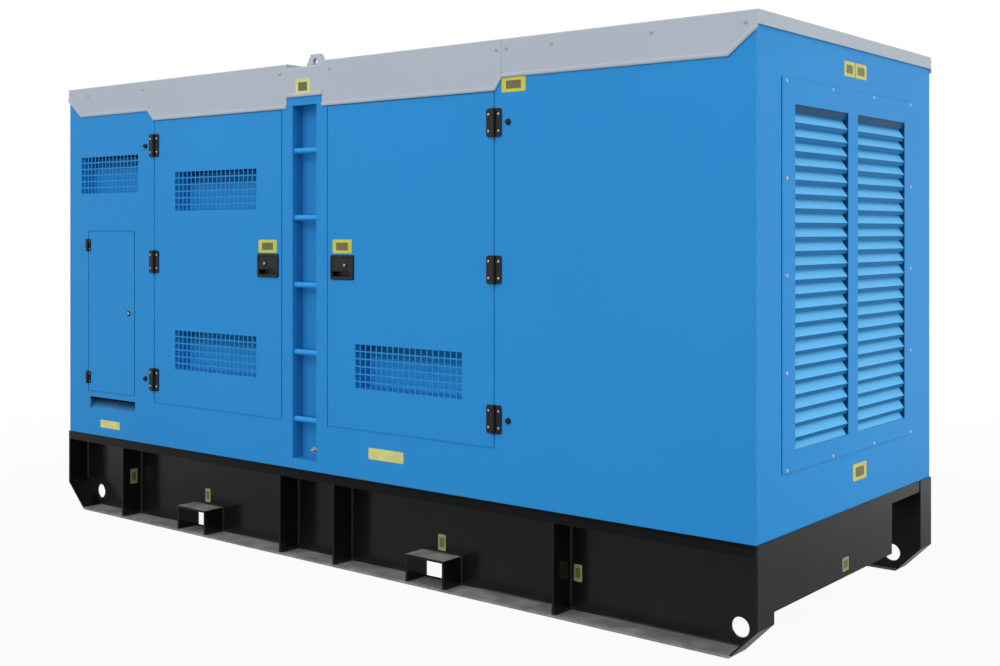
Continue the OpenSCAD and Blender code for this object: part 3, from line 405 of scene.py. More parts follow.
class Wiring:
    """A node tree, emptied, with short ways to add nodes and join them."""

    def __init__(self, tree):
        self.tree = tree
        tree.nodes.clear()

    def node(self, kind, **settings):
        """A new node with its own settings, not its sockets, set by name."""
        made = self.tree.nodes.new(kind)
        for key, value in settings.items():
            setattr(made, key, value)
        return made

    def link(self, source, target):
        self.tree.links.new(source, target)

    def combined(self, operation, a, b):
        """Two values through a Math node, such as MULTIPLY or MAXIMUM."""
        sums = self.node("ShaderNodeMath", operation=operation)
        self.link(a, sums.inputs[0])
        self.link(b, sums.inputs[1])
        return sums.outputs[0]

    def ranged(self, value, low, high, start=0.0, end=1.0, **settings):
        """A value moved from the span start..end to the span low..high, and held inside it."""
        spread = self.node("ShaderNodeMapRange", **settings)
        for socket, number in (
                ("From Min", start), ("From Max", end), ("To Min", low), ("To Max", high)):
            spread.inputs[socket].default_value = number
        self.link(value, spread.inputs["Value"])
        return spread.outputs["Result"]


class Finish(Wiring):
    """Node tree of one finish, on Object coordinates."""

    def __init__(self, name):
        self.material = bpy.data.materials.new(name)
        self.material.use_nodes = True
        super().__init__(self.material.node_tree)
        self.shader = self.node("ShaderNodeBsdfPrincipled")
        output = self.node("ShaderNodeOutputMaterial")
        self.link(self.shader.outputs["BSDF"], output.inputs["Surface"])
        self.place = self.node("ShaderNodeTexCoord").outputs["Object"]

    def noise(self, scale, detail, stretch=None):
        """Noise from 0 to 1 with so many blotches in a metre."""
        place = self.place
        if stretch:
            mapping = self.node("ShaderNodeMapping")
            mapping.inputs["Scale"].default_value = stretch
            self.link(place, mapping.inputs["Vector"])
            place = mapping.outputs["Vector"]
        noise = self.node("ShaderNodeTexNoise")
        noise.inputs["Scale"].default_value = scale
        noise.inputs["Detail"].default_value = detail
        self.link(place, noise.inputs["Vector"])
        return noise.outputs["Fac"]

    def product(self, a, b):
        """One value times another."""
        return self.combined("MULTIPLY", a, b)

    def mixed(self, factor, a, b):
        """Colour a where the factor is 0 and colour b where it is 1. Either may be a socket."""
        mix = self.node("ShaderNodeMix", data_type="RGBA")
        self.link(factor, mix.inputs["Factor"])
        for socket, value in (("A", a), ("B", b)):
            target = [s for s in mix.inputs if s.name == socket and s.type == "RGBA"][0]
            if isinstance(value, bpy.types.NodeSocket):
                self.link(value, target)
            else:
                target.default_value = (*value, 1.0)
        return [s for s in mix.outputs if s.type == "RGBA"][0]

    def component(self, vector, axis):
        """One of a vector's three numbers."""
        split = self.node("ShaderNodeSeparateXYZ")
        self.link(vector, split.inputs["Vector"])
        return split.outputs[axis]

    def upward(self):
        """1 on faces that look up, 0 on upright ones and -1 on those that look down."""
        return self.component(self.node("ShaderNodeNewGeometry").outputs["Normal"], "Z")

    def facing_up(self, least=0.35, full=0.9):
        """1 on faces that look up and 0 on upright ones."""
        return self.ranged(self.upward(), 0.0, 1.0, least, full)

    def facing_down(self, least=-0.2, full=-0.6):
        """1 on faces that look down and 0 on upright ones."""
        return self.ranged(self.upward(), 1.0, 0.0, full, least)

    def sunk(self, axis, level, depth):
        """0 as far from the middle along the axis as the level, and 1 at the depth below it."""
        distance = self.node("ShaderNodeMath", operation="ABSOLUTE")
        self.link(self.component(self.place, axis), distance.inputs[0])
        return self.ranged(distance.outputs[0], 1.0, 0.0, level - depth, level)

    def height(self, low, high):
        """1 at the low height and 0 at the high one."""
        return self.ranged(self.component(self.place, "Z"), 1.0, 0.0, low, high)

    def bump(self, value, distance, strength, soft_edge=0.0):
        """Fine relief, over edges that look rounded by the soft edge's radius."""
        bump = self.node("ShaderNodeBump")
        bump.inputs["Strength"].default_value = strength
        bump.inputs["Distance"].default_value = distance
        self.link(value, bump.inputs["Height"])
        if soft_edge:
            edge = self.node("ShaderNodeBevel", samples=4)
            edge.inputs["Radius"].default_value = soft_edge
            self.link(edge.outputs["Normal"], bump.inputs["Normal"])
        self.link(bump.outputs["Normal"], self.shader.inputs["Normal"])

    def surface(self, colour_socket, roughness_socket, specular, metallic=0.0):
        """The finished material, with its colour and roughness joined to the shader."""
        self.link(colour_socket, self.shader.inputs["Base Color"])
        self.link(roughness_socket, self.shader.inputs["Roughness"])
        self.shader.inputs["Specular IOR Level"].default_value = specular
        self.shader.inputs["Metallic"].default_value = metallic
        return self.material


def shade(colour_value, factor):
    """A colour times a factor, held to the range of a colour."""
    return tuple(min(1.0, channel * factor) for channel in colour_value)


def powder_coat(name, colour_value, roughness, specular, dust,
                recess=None, painted_shade=0.92, louvred=False):
    """Baked powder coat: slow drift of a few hundredths in colour from panel to panel, fine
    orange peel in the surface, and a trace of dust on ledges. A recess, given as an axis, a level
    and a depth, takes painted shade that darkens it towards its back. Louvred sheet takes a
    painted highlight of pale blue on faces that look up and painted shade on faces that look down."""
    finish = Finish(name)
    drift = finish.noise(0.9, 3.0)
    colour_socket = finish.mixed(drift, shade(colour_value, 0.94), shade(colour_value, 1.06))
    if louvred:
        # Painted highlight: faces that look up are mixed towards pale blue.
        painted_highlight = finish.ranged(finish.facing_up(0.2, 0.5), 0.0, 0.50)
        colour_socket = finish.mixed(painted_highlight, colour_socket, PAINTED_HIGHLIGHT_BLUE)
        # Painted shade: faces that look down are mixed towards a dark blue.
        underside_shade = finish.ranged(finish.facing_down(), 0.0, 0.76)
        colour_socket = finish.mixed(underside_shade, colour_socket, shade(colour_value, 0.18))
    # Painted shade: faces set back from the level are mixed towards a dark blue by their depth, up
    # to the given share.
    if recess:
        recess_shade = finish.ranged(finish.sunk(*recess), 0.0, painted_shade)
        colour_socket = finish.mixed(recess_shade, colour_socket, shade(colour_value, 0.15))
    patches = finish.ranged(finish.noise(7.0, 4.0), 0.0, dust, 0.35, 0.7)
    ledge = finish.product(finish.facing_up(), patches)
    colour_socket = finish.mixed(ledge, colour_socket, LEDGE_DUST)
    finish.bump(finish.noise(420.0, 2.0), 0.00012, 0.55, soft_edge=0.0015)
    gloss = finish.ranged(finish.noise(3.0, 4.0), roughness - 0.04, roughness + 0.06)
    return finish.surface(colour_socket, gloss, specular)


def skid_paint(name, colour_value, specular):
    """Glossy black enamel over hot-rolled steel: mottled, with mill scale under its surface, yard
    dust near the floor and on level faces that look up, where it is also a painted highlight, and
    a near-black painted shadow line under the canopy's edge."""
    finish = Finish(name)
    mottle = finish.noise(5.0, 5.0)
    colour_socket = finish.mixed(mottle, shade(colour_value, 0.75), shade(colour_value, 1.5))
    cloud = finish.ranged(finish.noise(9.0, 6.0), 0.0, 1.0, 0.38, 0.68)
    low = finish.product(cloud, finish.ranged(finish.height(0.0, 0.16), 0.0, 0.05))
    colour_socket = finish.mixed(low, colour_socket, FLOOR_DIRT)
    # Level faces that look up take the pale grey in patches as dust and painted highlight;
    # everything below 12 mm takes it as dust.
    flange = finish.combined("MAXIMUM", finish.facing_up(0.80, 0.97), finish.height(0.009, 0.012))
    ledge = finish.product(flange, finish.ranged(cloud, 0.45, 0.80))
    colour_socket = finish.mixed(ledge, colour_socket, YARD_DUST_AND_SHEEN)
    # Painted shadow: everything in this paint within 10 mm of the skid's top turns near-black,
    # faded in over 3 mm, as the shadow under the canopy's edge.
    shadow_line = finish.height(SKID_TOP - 0.013, SKID_TOP - 0.010)
    colour_socket = finish.mixed(finish.ranged(shadow_line, 1.0, 0.0), colour_socket, PAINTED_SHADOW_LINE)
    finish.bump(finish.noise(45.0, 3.0), 0.0003, 0.25, soft_edge=0.002)
    gloss = finish.ranged(finish.noise(14.0, 4.0), 0.14, 0.24)
    gloss = finish.combined("MAXIMUM", gloss, finish.ranged(flange, 0.0, 0.6))
    return finish.surface(colour_socket, gloss, specular)


def moulded_black(name, colour_value, roughness):
    """Black cast and moulded fittings: fine spark texture, a little greyer where it is rubbed."""
    finish = Finish(name)
    rubbed = finish.ranged(finish.noise(60.0, 5.0), 0.0, 1.0, 0.45, 0.75)
    colour_socket = finish.mixed(rubbed, colour_value, shade(colour_value, 2.2))
    finish.bump(finish.noise(1500.0, 3.0), 0.00015, 0.6)
    gloss = finish.ranged(finish.noise(90.0, 3.0), roughness - 0.07, roughness + 0.09)
    return finish.surface(colour_socket, gloss, 0.28)


def soft_rubber(name, colour_value):
    """Matt rubber with a pale bloom in patches and a pebbled skin."""
    finish = Finish(name)
    bloom = finish.ranged(finish.noise(25.0, 5.0), 0.0, 0.5, 0.4, 0.8)
    colour_socket = finish.mixed(bloom, colour_value, shade(colour_value, 2.6))
    finish.bump(finish.noise(900.0, 2.0), 0.00018, 0.6)
    gloss = finish.ranged(finish.noise(40.0, 2.0), 0.68, 0.86)
    return finish.surface(colour_socket, gloss, 0.3)


def plated_steel(name, colour_value):
    """Zinc plate: brushed lines drawn out along X, and cloudy passivation."""
    finish = Finish(name)
    brushed = finish.noise(300.0, 3.0, stretch=(0.12, 1.0, 1.0))
    cloud = finish.noise(70.0, 3.0)
    colour_socket = finish.mixed(cloud, shade(colour_value, 0.8), shade(colour_value, 1.08))
    finish.bump(brushed, 0.00005, 0.5)
    gloss = finish.ranged(brushed, 0.26, 0.44)
    return finish.surface(colour_socket, gloss, 0.5, metallic=1.0)


def label_film(name, colour_value):
    """Glossy vinyl, slightly faded in patches, with a faint ripple where it was rubbed down."""
    finish = Finish(name)
    faded = finish.ranged(finish.noise(22.0, 4.0), 0.0, 1.0, 0.3, 0.75)
    colour_socket = finish.mixed(faded, shade(colour_value, 0.86), shade(colour_value, 1.08))
    finish.bump(finish.noise(90.0, 2.0), 0.0002, 0.3)
    gloss = finish.ranged(finish.noise(50.0, 3.0), 0.22, 0.38)
    return finish.surface(colour_socket, gloss, 0.5)


# Every finish by its key, filled by genset.paint_frame.
MATERIALS = {}


# ---------------------------------------------------------------------------
# Operators: one for each piece or group of like pieces
# ---------------------------------------------------------------------------

def fit(name, shape, key, body=BODY, smooth_angle=40.0):
    """Puts a shape into a mesh object that rides on a CAD body, in the finish of that key."""
    if key not in MATERIALS:
        raise RuntimeError("run genset.paint_frame first: there is no finish named " + key)
    mesh = bpy.data.meshes.new(name)
    mesh.from_pydata(shape.points.tolist(), [], shape.quads.tolist() + shape.triangles.tolist())
    mesh.validate()
    mesh.materials.append(MATERIALS[key])
    mesh.shade_smooth()
    mesh.set_sharp_from_angle(angle=math.radians(smooth_angle))
    piece = bpy.data.objects.new(name, mesh)
    bpy.context.scene.collection.objects.link(piece)
    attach(piece, body)
    return piece


def fit_doors(name, shapes, key):
    """Fits each shape on its own front door, and their mirror images on the rear doors."""
    for body, shape in zip(DOORS, shapes):
        fit(name + "_" + body.removeprefix("front_"), shape, key, body)
    fit(name + "_rear_doors", joined(shapes).mirrored(1), key)


class GensetOperator:
    """What every step shares"""

    bl_options = {"REGISTER", "UNDO"}


class GENSET_OT_paint_frame(GensetOperator, bpy.types.Operator):
    """Make the finishes and paint every panel, door and skid member with them"""

    bl_idname = "genset.paint_frame"
    bl_label = "Paint Frame"

    def execute(self, context):
        paint = context.scene.genset_paint
        coat = {"roughness": 0.40, "specular": 0.10, "dust": 0.10}
        wall = -WALL_Y
        MATERIALS.update(
            canopy=powder_coat("canopy_powder_coat", paint.canopy, **coat),
            # Painted shade in the air slot, darker towards its back.
            bay=powder_coat(
                "bay_powder_coat", paint.canopy, **coat, recess=("Y", wall - 0.003, 0.024)),
            # Painted shade on the louvre panel's faces that are set back behind its front.
            surround=powder_coat(
                "louvre_surround_powder_coat", paint.canopy, **coat,
                recess=("X", LOUVRE_PANEL[1].x - 0.001, 0.002)),
            # Louvre blades: painted highlight above and painted shade below.
            louvre=powder_coat(
                "louvre_powder_coat", paint.canopy,
                roughness=0.40, specular=0.05, dust=0.10, louvred=True),
            # Painted shade in the ladder recess, darker towards its back.
            column=powder_coat(
                "column_powder_coat", paint.canopy, **coat,
                recess=("Y", wall - 0.004, 0.060), painted_shade=0.15),
            # Painted light: the canopy's blue made a quarter lighter.
            pale=powder_coat("lit_canopy_powder_coat", shade(paint.canopy, 1.25), **coat),
            roof=powder_coat(
                "roof_powder_coat", paint.roof, roughness=0.46, specular=0.25, dust=0.22),
            skid=skid_paint("skid_black_paint", paint.skid, 0.32),
            chord=skid_paint("chord_black_paint", paint.skid, 0.12),
            fittings=moulded_black("black_fittings", paint.fittings, 0.42),
            rubber=soft_rubber("seal_rubber", paint.rubber),
            zinc=plated_steel("zinc_plate", paint.zinc),
            label=label_film("label_vinyl", paint.label),
            plate=label_film("pale_label_vinyl", paint.plate),
            # Darker film of the skid's labels: dust and painted shade.
            faded=label_film("dusty_shaded_label_vinyl", paint.faded),
            ink=label_film("label_ink", paint.ink))
        plain = {slot: key for key, slot in FINISH_SLOTS.items()}
        for part in frame["record"]["subparts"]:
            node = frame["nodes"][part["node"]]
            key = OWN_FINISHES.get(part["node"], plain[part["material_slot"]])
            node.data.materials.clear()
            node.data.materials.append(MATERIALS[key])
        return {"FINISHED"}


class GENSET_OT_grille_bars(GensetOperator, bpy.types.Operator):
    """Add the upright bars that make rows of square openings of the side vents"""

    bl_idname = "genset.grille_bars"
    bl_label = "Grille Bars"

    def upright_bars(self, sizes, low_x, high_x, low_z):
        """Bars between a row's openings, a pitch apart and centred in the vent's width. Each is a
        hair thinner than the sheet on both faces and runs past the openings above and below."""
        hair, overlap = 0.0003, 0.001
        width = high_x - low_x
        columns = round((width + sizes.grille_bar) / sizes.grille_pitch)
        pitch = (width + sizes.grille_bar) / columns
        centres = low_x + pitch * np.arange(1, columns) - sizes.grille_bar / 2
        bar = slab(sizes.grille_bar, sizes.vent_height + 2 * overlap, SHEET - 2 * hair)
        places = np.column_stack([
            centres, np.full(len(centres), WALL_Y + SHEET - hair),
            np.full(len(centres), low_z + sizes.vent_height / 2)])
        return on_front(bar).at(places)

    def execute(self, context):
        sizes = context.scene.genset_hardware
        inner = []
        for (low, high), count in ((BAY_VENT, 1), (LEFT_VENTS, 2), (RIGHT_VENTS, 1)):
            levels = [low.z + SHEET, high.z - SHEET - sizes.vent_height][:count]
            inner.append(joined(
                [self.upright_bars(sizes, low.x + SHEET, high.x - SHEET, z) for z in levels]))
        bay, left, right = inner
        fit("grille_bars_bay", both_sides(bay), "canopy")
        fit_doors("grille_bars", [left, right], "canopy")
        return {"FINISHED"}


class GENSET_OT_hinge_screws(GensetOperator, bpy.types.Operator):
    """Add the plated screws in the hinges' wings, each on the side that carries it"""

    bl_idname = "genset.hinge_screws"
    bl_label = "Hinge Screws"

    def screws(self, hinge, pin_x, side):
        """A pair of screws in each hinge's wing, on one side of the pin. The hinge gives their
        head, its levels, their reach from the pin and rise from its middle, and its thickness."""
        head, levels, reach, rise, thickness = hinge
        x, y = pin_x + side * reach, WALL_Y - thickness
        return on_front(head).at([(x, y, z + up * rise) for z in levels for up in (-1, 1)])

    def execute(self, context):
        radius = context.scene.genset_hardware.hinge_screw_radius
        inset = 0.068
        big = (pan_head(radius), (HINGE_LOW, LEAF_MIDDLE, HINGE_HIGH), 0.025, 0.033, 0.006)
        small = (pan_head(radius * 0.62), (ACCESS_LEAF[0].z + inset, ACCESS_LEAF[1].z - inset),
                 0.0145, 0.020, 0.004)
        rows = ((big, LEFT_PIN, 1), (big, RIGHT_PIN, -1), (small, ACCESS_PIN, 1))
        fixed = joined([self.screws(hinge, x, -side) for hinge, x, side in rows])
        fit("hinge_screws_frame", both_sides(fixed), "zinc")
        fit_doors("hinge_screws", [self.screws(*row) for row in rows], "zinc")
        return {"FINISHED"}


class GENSET_OT_panel_screws(GensetOperator, bpy.types.Operator):
    """Add the screws of the roof's skirt, and the louvre panel's dome rivets and gasket"""

    bl_idname = "genset.panel_screws"
    bl_label = "Panel Screws"

    def execute(self, context):
        head = on_front(pan_head(context.scene.genset_hardware.screw_radius))
        skirt_x = (-1.85, -1.38, -0.36, -0.04, 0.895, 0.945, 1.162, 1.605, 1.98)
        skirt_z = ROOF_LEFT[1].z - 0.040
        skirt = head.at([(x, ROOF_Y, skirt_z) for x in skirt_x])
        fit("roof_skirt_screws", both_sides(skirt), "roof")
        low, high = LOUVRE_PANEL
        outer, inner = 0.570, 0.19
        levels = np.linspace(low.z + 0.010, high.z - 0.014, 5)
        places = [(high.x, side * outer, z) for z in levels for side in (-1, 1)]
        places += [(high.x, y, z) for y in (-inner, inner) for z in (levels[0], levels[-1])]
        rivet = revolved(
            (0.0075, 0.0075, 0.0066, 0.0045, 0.0018), (-0.0005, 0.0009, 0.0021, 0.0030, 0.0034))
        # The rivets take the roof's light grey on the blue panel, so that they show as painted
        # highlights.
        fit("louvre_panel_rivets", on_right(rivet).at(places), "roof")
        border, width, back, front = 0.001, 0.0030, -0.0004, 0.0012
        outline = round_rectangle(
            high.y - low.y + 2 * border, high.z - low.z + 2 * border, 0.004, 2)
        strip = moulding(outline, ((0, back), (0, front), (width, front), (width, back)))
        middle = (WALL_X, (low.y + high.y) / 2, (low.z + high.z) / 2)
        fit("louvre_panel_gasket", on_right(strip).at([middle]), "rubber")
        return {"FINISHED"}


class GENSET_OT_roof_hems(GensetOperator, bpy.types.Operator):
    """Roll a hem along the stepped lower edge of the roof's skirt"""

    bl_idname = "genset.roof_hems"
    bl_label = "Roof Hems"

    def execute(self, context):
        sizes = context.scene.genset_hardware
        overhang = 0.004
        bead = half_round(sizes.hem_height, sizes.hem_depth)[::-1] - (overhang, 0)
        end, step, rise = 0.112, 0.049, 0.088
        door, side = ROOF_LEFT[0].z, ROOF_RIGHT[0].z
        far_left, far_right = ROOF_LEFT[0].x, ROOF_RIGHT[1].x
        door_left, door_right = LEFT_LEAF[0].x - DOOR_GAP, RIGHT_LEAF[1].x + DOOR_GAP
        lines = (
            ((far_left, side + rise), (far_left + end, side), (door_left - step, side),
             (door_left, door), (ROOF_LEFT[1].x, door)),
            ((BRIDGE[0].x, side), (BRIDGE[1].x, side)),
            ((ROOF_MIDDLE[0].x, door), (door_right, door), (ROOF_MIDDLE[1].x, side)),
            ((ROOF_RIGHT[0].x, side), (far_right - end, side), (far_right, side + rise)))
        hems = on_front(joined([trim(line, bead) for line in lines])).at([(0, ROOF_Y, 0)])
        fit("roof_hems", both_sides(hems), "roof")
        return {"FINISHED"}


class GENSET_OT_latches(GensetOperator, bpy.types.Operator):
    """Dress the paddle latches with a bezel, a ribbed paddle and a key barrel"""

    bl_idname = "genset.latches"
    bl_label = "Latches"

    def bezel(self):
        """Half-round bead carried round the latch plate's edge."""
        bead = half_round(0.012, 0.004, steps=7, fullness=1.0)
        return moulding(round_rectangle(0.140, 0.106, 0.009), bead)

    def ribs(self):
        """Grip ribs across the lower part of the paddle."""
        rib = cushion(0.070, 0.0032, 0.0015, ((0, -0.002), (0, 0.0008), (0.0006, 0.0016)))
        return rib.at([(0, y, 0) for y in (-0.0070, -0.0115, -0.0160)])

    def barrel(self):
        """Key barrel: a black flanged drum with the keyway across it, and its plated core."""
        drum = revolved((0.0125, 0.0125, 0.0115, 0.0080), (-0.002, 0.0015, 0.0028, 0.0030), 24)
        core_front = 0.0042
        core = revolved((0.0062, 0.0062, 0.0054), (0.0028, 0.0038, core_front))
        keyway = slab(0.0018, 0.0080, 0.0006).at([(0, 0, core_front)])
        return joined([drum, keyway]), core

    def execute(self, context):
        plate_y, plate_z = WALL_Y - 0.005, LEAF_MIDDLE - 0.005
        from_edge = 0.088
        barrel_out, barrel_up = 0.019, 0.010
        drum, core = self.barrel()
        black, plated = [], []
        for x, side in ((LEFT_LEAF[1].x - from_edge, -1), (RIGHT_LEAF[0].x + from_edge, 1)):
            plate = [(x, plate_y, plate_z)]
            key = [(x + side * barrel_out, plate_y, plate_z + barrel_up)]
            black.append(joined([
                on_front(self.bezel()).at(plate), on_front(self.ribs()).at(plate),
                on_front(drum).at(key)]))
            plated.append(on_front(core).at(key))
        for body, dark, bright in zip(DOORS, black, plated):
            door = body.removeprefix("front_")
            fit("latch_bezel_" + door, dark, "fittings", body)
            fit("latch_barrel_" + door, bright, "zinc", body)
        fit("latch_bezels_rear_doors", joined(black).mirrored(1), "fittings")
        fit("latch_barrels_rear_doors", joined(plated).mirrored(1), "zinc")
        return {"FINISHED"}


class GENSET_OT_access_locks(GensetOperator, bpy.types.Operator):
    """Add the plated insert of the small doors' locks"""

    bl_idname = "genset.access_locks"
    bl_label = "Access Locks"

    def execute(self, context):
        insert = revolved(
            (0.0074, 0.0074, 0.0062, 0.0058, 0.0036), (-0.001, 0.0009, 0.0017, 0.0008, 0.0008), 24)
        place = (ACCESS_LEAF[1].x - 0.046, WALL_Y - SHEET,
                 (ACCESS_LEAF[0].z + ACCESS_LEAF[1].z) / 2)
        lock = on_front(insert).at([place])
        fit("lock_insert_access_door", lock, "zinc", "access_door")
        fit("lock_insert_rear_access_door", lock.mirrored(1), "zinc")
        return {"FINISHED"}


class GENSET_OT_seals(GensetOperator, bpy.types.Operator):
    """Lay the rubber seals on the frame flanges behind the doors' edges, and run a painted lip
    along the bottom of each door's gap"""

    bl_idname = "genset.seals"
    bl_label = "Door Seals"

    def execute(self, context):
        sizes = context.scene.genset_hardware
        bulb = half_round(sizes.seal_width, sizes.seal_height)
        tuck, flange_depth = 0.002, 0.006
        root, clearance, thickness = 0.0005, 0.0008, 0.002
        reach = DOOR_GAP - clearance
        flat = ((-root, 0), (-root, thickness), (reach, thickness), (reach, 0))
        lip_y = WALL_Y + SHEET + 0.0022
        strips, lips = [], []
        for low, high in (LEFT_LEAF, RIGHT_LEAF, ACCESS_LEAF):
            width, height = high.x - low.x, high.z - low.z
            x, z = (low.x + high.x) / 2, (low.z + high.z) / 2
            edge = round_rectangle(width - 2 * tuck, height - 2 * tuck, 0.016)
            strips.append(on_front(moulding(edge, bulb)).at([(x, high.y + flange_depth, z)]))
            opening = round_rectangle(width + 2 * DOOR_GAP, height + 2 * DOOR_GAP, 0.0075)
            lips.append(on_front(moulding(opening, flat)).at([(x, lip_y, z)]))
        fit("door_seals", both_sides(joined(strips)), "rubber")
        fit("door_gap_lips", both_sides(joined(lips)), "canopy")
        return {"FINISHED"}


class GENSET_OT_buffers(GensetOperator, bpy.types.Operator):
    """Turn the rubber buffers beside the hinges"""

    bl_idname = "genset.buffers"
    bl_label = "Door Buffers"

    def execute(self, context):
        bell = revolved(
            (0.0130, 0.0130, 0.0125, 0.0107, 0.0095, 0.0090, 0.0088, 0.0082, 0.0067, 0.0038),
            (0.0, 0.0018, 0.0026, 0.0032, 0.0046, 0.0078, 0.0115, 0.0129, 0.0137, 0.0140), 28)
        from_pin = 0.070
        bells = on_front(bell).at([
            (x, WALL_Y, z) for x in (LEFT_PIN - from_pin, RIGHT_PIN + from_pin)
            for z in (HINGE_LOW, HINGE_HIGH)])
        piece = fit("rubber_buffers", both_sides(bells), "rubber")
        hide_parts("door_buffers")
        return {"FINISHED"}


class GENSET_OT_earth_studs(GensetOperator, bpy.types.Operator):
    """Turn the earthing studs with their washers, nuts and threads"""

    bl_idname = "genset.earth_studs"
    bl_label = "Earth Studs"

    def execute(self, context):
        low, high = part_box("earth_studs")
        place = ((low.x + high.x) / 2, COLUMN[0].y + 0.062, (low.z + high.z) / 2)
        washer = revolved((0.0150, 0.0150, 0.0144), (0.0, 0.0026, 0.0032), 28)
        nut = revolved((0.0085, 0.0100, 0.0100, 0.0085), (0.0032, 0.0042, 0.0104, 0.0114), 6)
        turns = np.arange(13)
        half_pitch, root, crest = 0.0008, 0.0043, 0.0050
        thread = revolved(
            np.append(np.where(turns % 2 == 0, root, crest), 0.0034),
            np.append(0.0110 + half_pitch * turns, 0.022))
        stud = on_front(joined([washer, nut, thread])).at([place])
        piece = fit("threaded_earth_studs", both_sides(stud), "zinc", smooth_angle=30.0)
        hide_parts("earth_studs")
        return {"FINISHED"}


class GENSET_OT_labels(GensetOperator, bpy.types.Operator):
    """Stick the blank labels on the doors, the panels and the skid"""

    bl_idname = "genset.labels"
    bl_label = "Blank Labels"

    def layers(self, face, low, high, laid=on_front):
        """The two layers of a label between two corners on a face: a film with round corners and
        a softened front edge, and a plain printed field over its middle."""
        sizes = bpy.context.scene.genset_hardware
        thick, corner = sizes.label_thickness, sizes.label_corner
        width, height = high[0] - low[0], high[1] - low[1]
        film = cushion(width, height, corner, ((0, 0), (0, thick * 0.6), (thick * 0.5, thick)))
        field = cushion(width * 0.62, height * 0.56, corner * 0.6,
                        ((0, thick * 0.5), (0, thick + 0.00015)))
        across, up = (low[0] + high[0]) / 2, (low[1] + high[1]) / 2
        place = (across, face, up) if laid is on_front else (face, across, up)
        return [laid(layer).at([place]) for layer in (film, field)]

    def execute(self, context):
        layers = self.layers
        left = layers(WALL_Y, (-0.508, 1.362), (-0.385, 1.421))
        right = layers(WALL_Y, (-0.022, 1.364), (0.095, 1.424))
        over_door = layers(WALL_Y, (0.920, 2.000), (1.038, 2.058))
        over_ladder = layers(ROOF_Y, (-0.256, 2.068), (-0.163, 2.138))
        end = (
            layers(WALL_X, (-0.084, 2.050), (0.010, 2.108), on_right),
            layers(WALL_X, (0.018, 2.050), (0.122, 2.108), on_right),
            layers(WALL_X, (-0.005, 0.497), (0.121, 0.563), on_right))
        skid = (
            layers(WEB_Y, (-1.028, 0.135), (-0.989, 0.201)),
            layers(WEB_Y, (0.494, 0.132), (0.536, 0.200)),
            layers(WEB_Y, (1.188, 0.120), (1.226, 0.186)),
            layers(RIB_PLACES[0] + RIB_HALF, (-0.751, 0.168), (-0.709, 0.243), on_right))
        fascia = layers(FASCIA_X, (-0.111, 0.172), (-0.054, 0.224), on_right)
        long_labels = (
            layers(WALL_Y, (-1.743, 0.444), (-1.577, 0.484)),
            layers(WALL_Y, (0.196, 0.493), (0.398, 0.541)))

        def stick(name, shapes, key, body=BODY):
            """Fits labels as one piece, with edges kept crisp."""
            fit(name, joined(shapes), key, body, smooth_angle=15.0)

        for layer, name, key, skid_key in (
                (0, "label", "label", "faded"), (1, "label_field", "ink", "ink")):
            doors = [left[layer], right[layer]]
            stick(name + "_left_door", doors[:1], key, "front_left_door")
            stick(name + "_right_door", doors[1:], key, "front_right_door")
            canopy = [both_sides(over_door[layer])] + [one[layer] for one in end]
            canopy += [one.mirrored(1) for one in doors]
            if layer == 1:
                canopy.append(both_sides(over_ladder[layer]))
            stick(name + "s_canopy", canopy, key)
            low = [both_sides(one[layer]) for one in skid] + [fascia[layer]]
            stick(name + "s_skid", low, skid_key)
        pale = joined([one[0] for one in (over_ladder, *long_labels)])
        stick("pale_labels", [both_sides(pale)], "plate")
        return {"FINISHED"}


class GENSET_OT_welds(GensetOperator, bpy.types.Operator):
    """Run the fillet welds of the skid's ribs, fork pockets and end plates"""

    bl_idname = "genset.welds"
    bl_label = "Skid Welds"

    def execute(self, context):
        leg = context.scene.genset_hardware.weld_leg
        out, up = (0, -1, 0), (0, 0, 1)
        flange, under = FLANGE[1].z, SKID_TOP - 0.010
        crown = flange + POCKET_HEIGHT
        edge = FLANGE[0].y + 0.004
        beads = []

        def upright(x, side, bottom, top):
            """A bead up the web, beside a plate's face that looks to that side."""
            beads.append(weld_bead((x, WEB_Y, bottom), (x, WEB_Y, top), (side, 0, 0), out, leg))

        def level(x, side):
            """A bead out along the flange, beside the same face."""
            beads.append(weld_bead((x, WEB_Y, flange), (x, edge, flange), (side, 0, 0), up, leg))

        for x in RIB_PLACES:
            for side in (-1, 1):
                upright(x + side * RIB_HALF, side, flange, under)
                level(x + side * RIB_HALF, side)
        for x in POCKET_PLACES:
            for side in (-1, 1):
                upright(x + side * POCKET_HALF, side, flange, crown)
                level(x + side * POCKET_HALF, side)
            beads.append(weld_bead(
                (x - POCKET_HALF, WEB_Y, crown), (x + POCKET_HALF, WEB_Y, crown), up, out, leg))
        corner = SKID_X - 0.010
        upright(corner, -1, 0.116, under)
        upright(-corner, 1, 0.134, under)
        margin = 0.014
        beads.append(weld_bead(
            (FLANGE[0].x + margin, WEB_Y, flange), (FLANGE[1].x - margin, WEB_Y, flange),
            out, up, leg))
        fit("skid_weld_beads", both_sides(joined(beads)), "skid", smooth_angle=60.0)
        return {"FINISHED"}


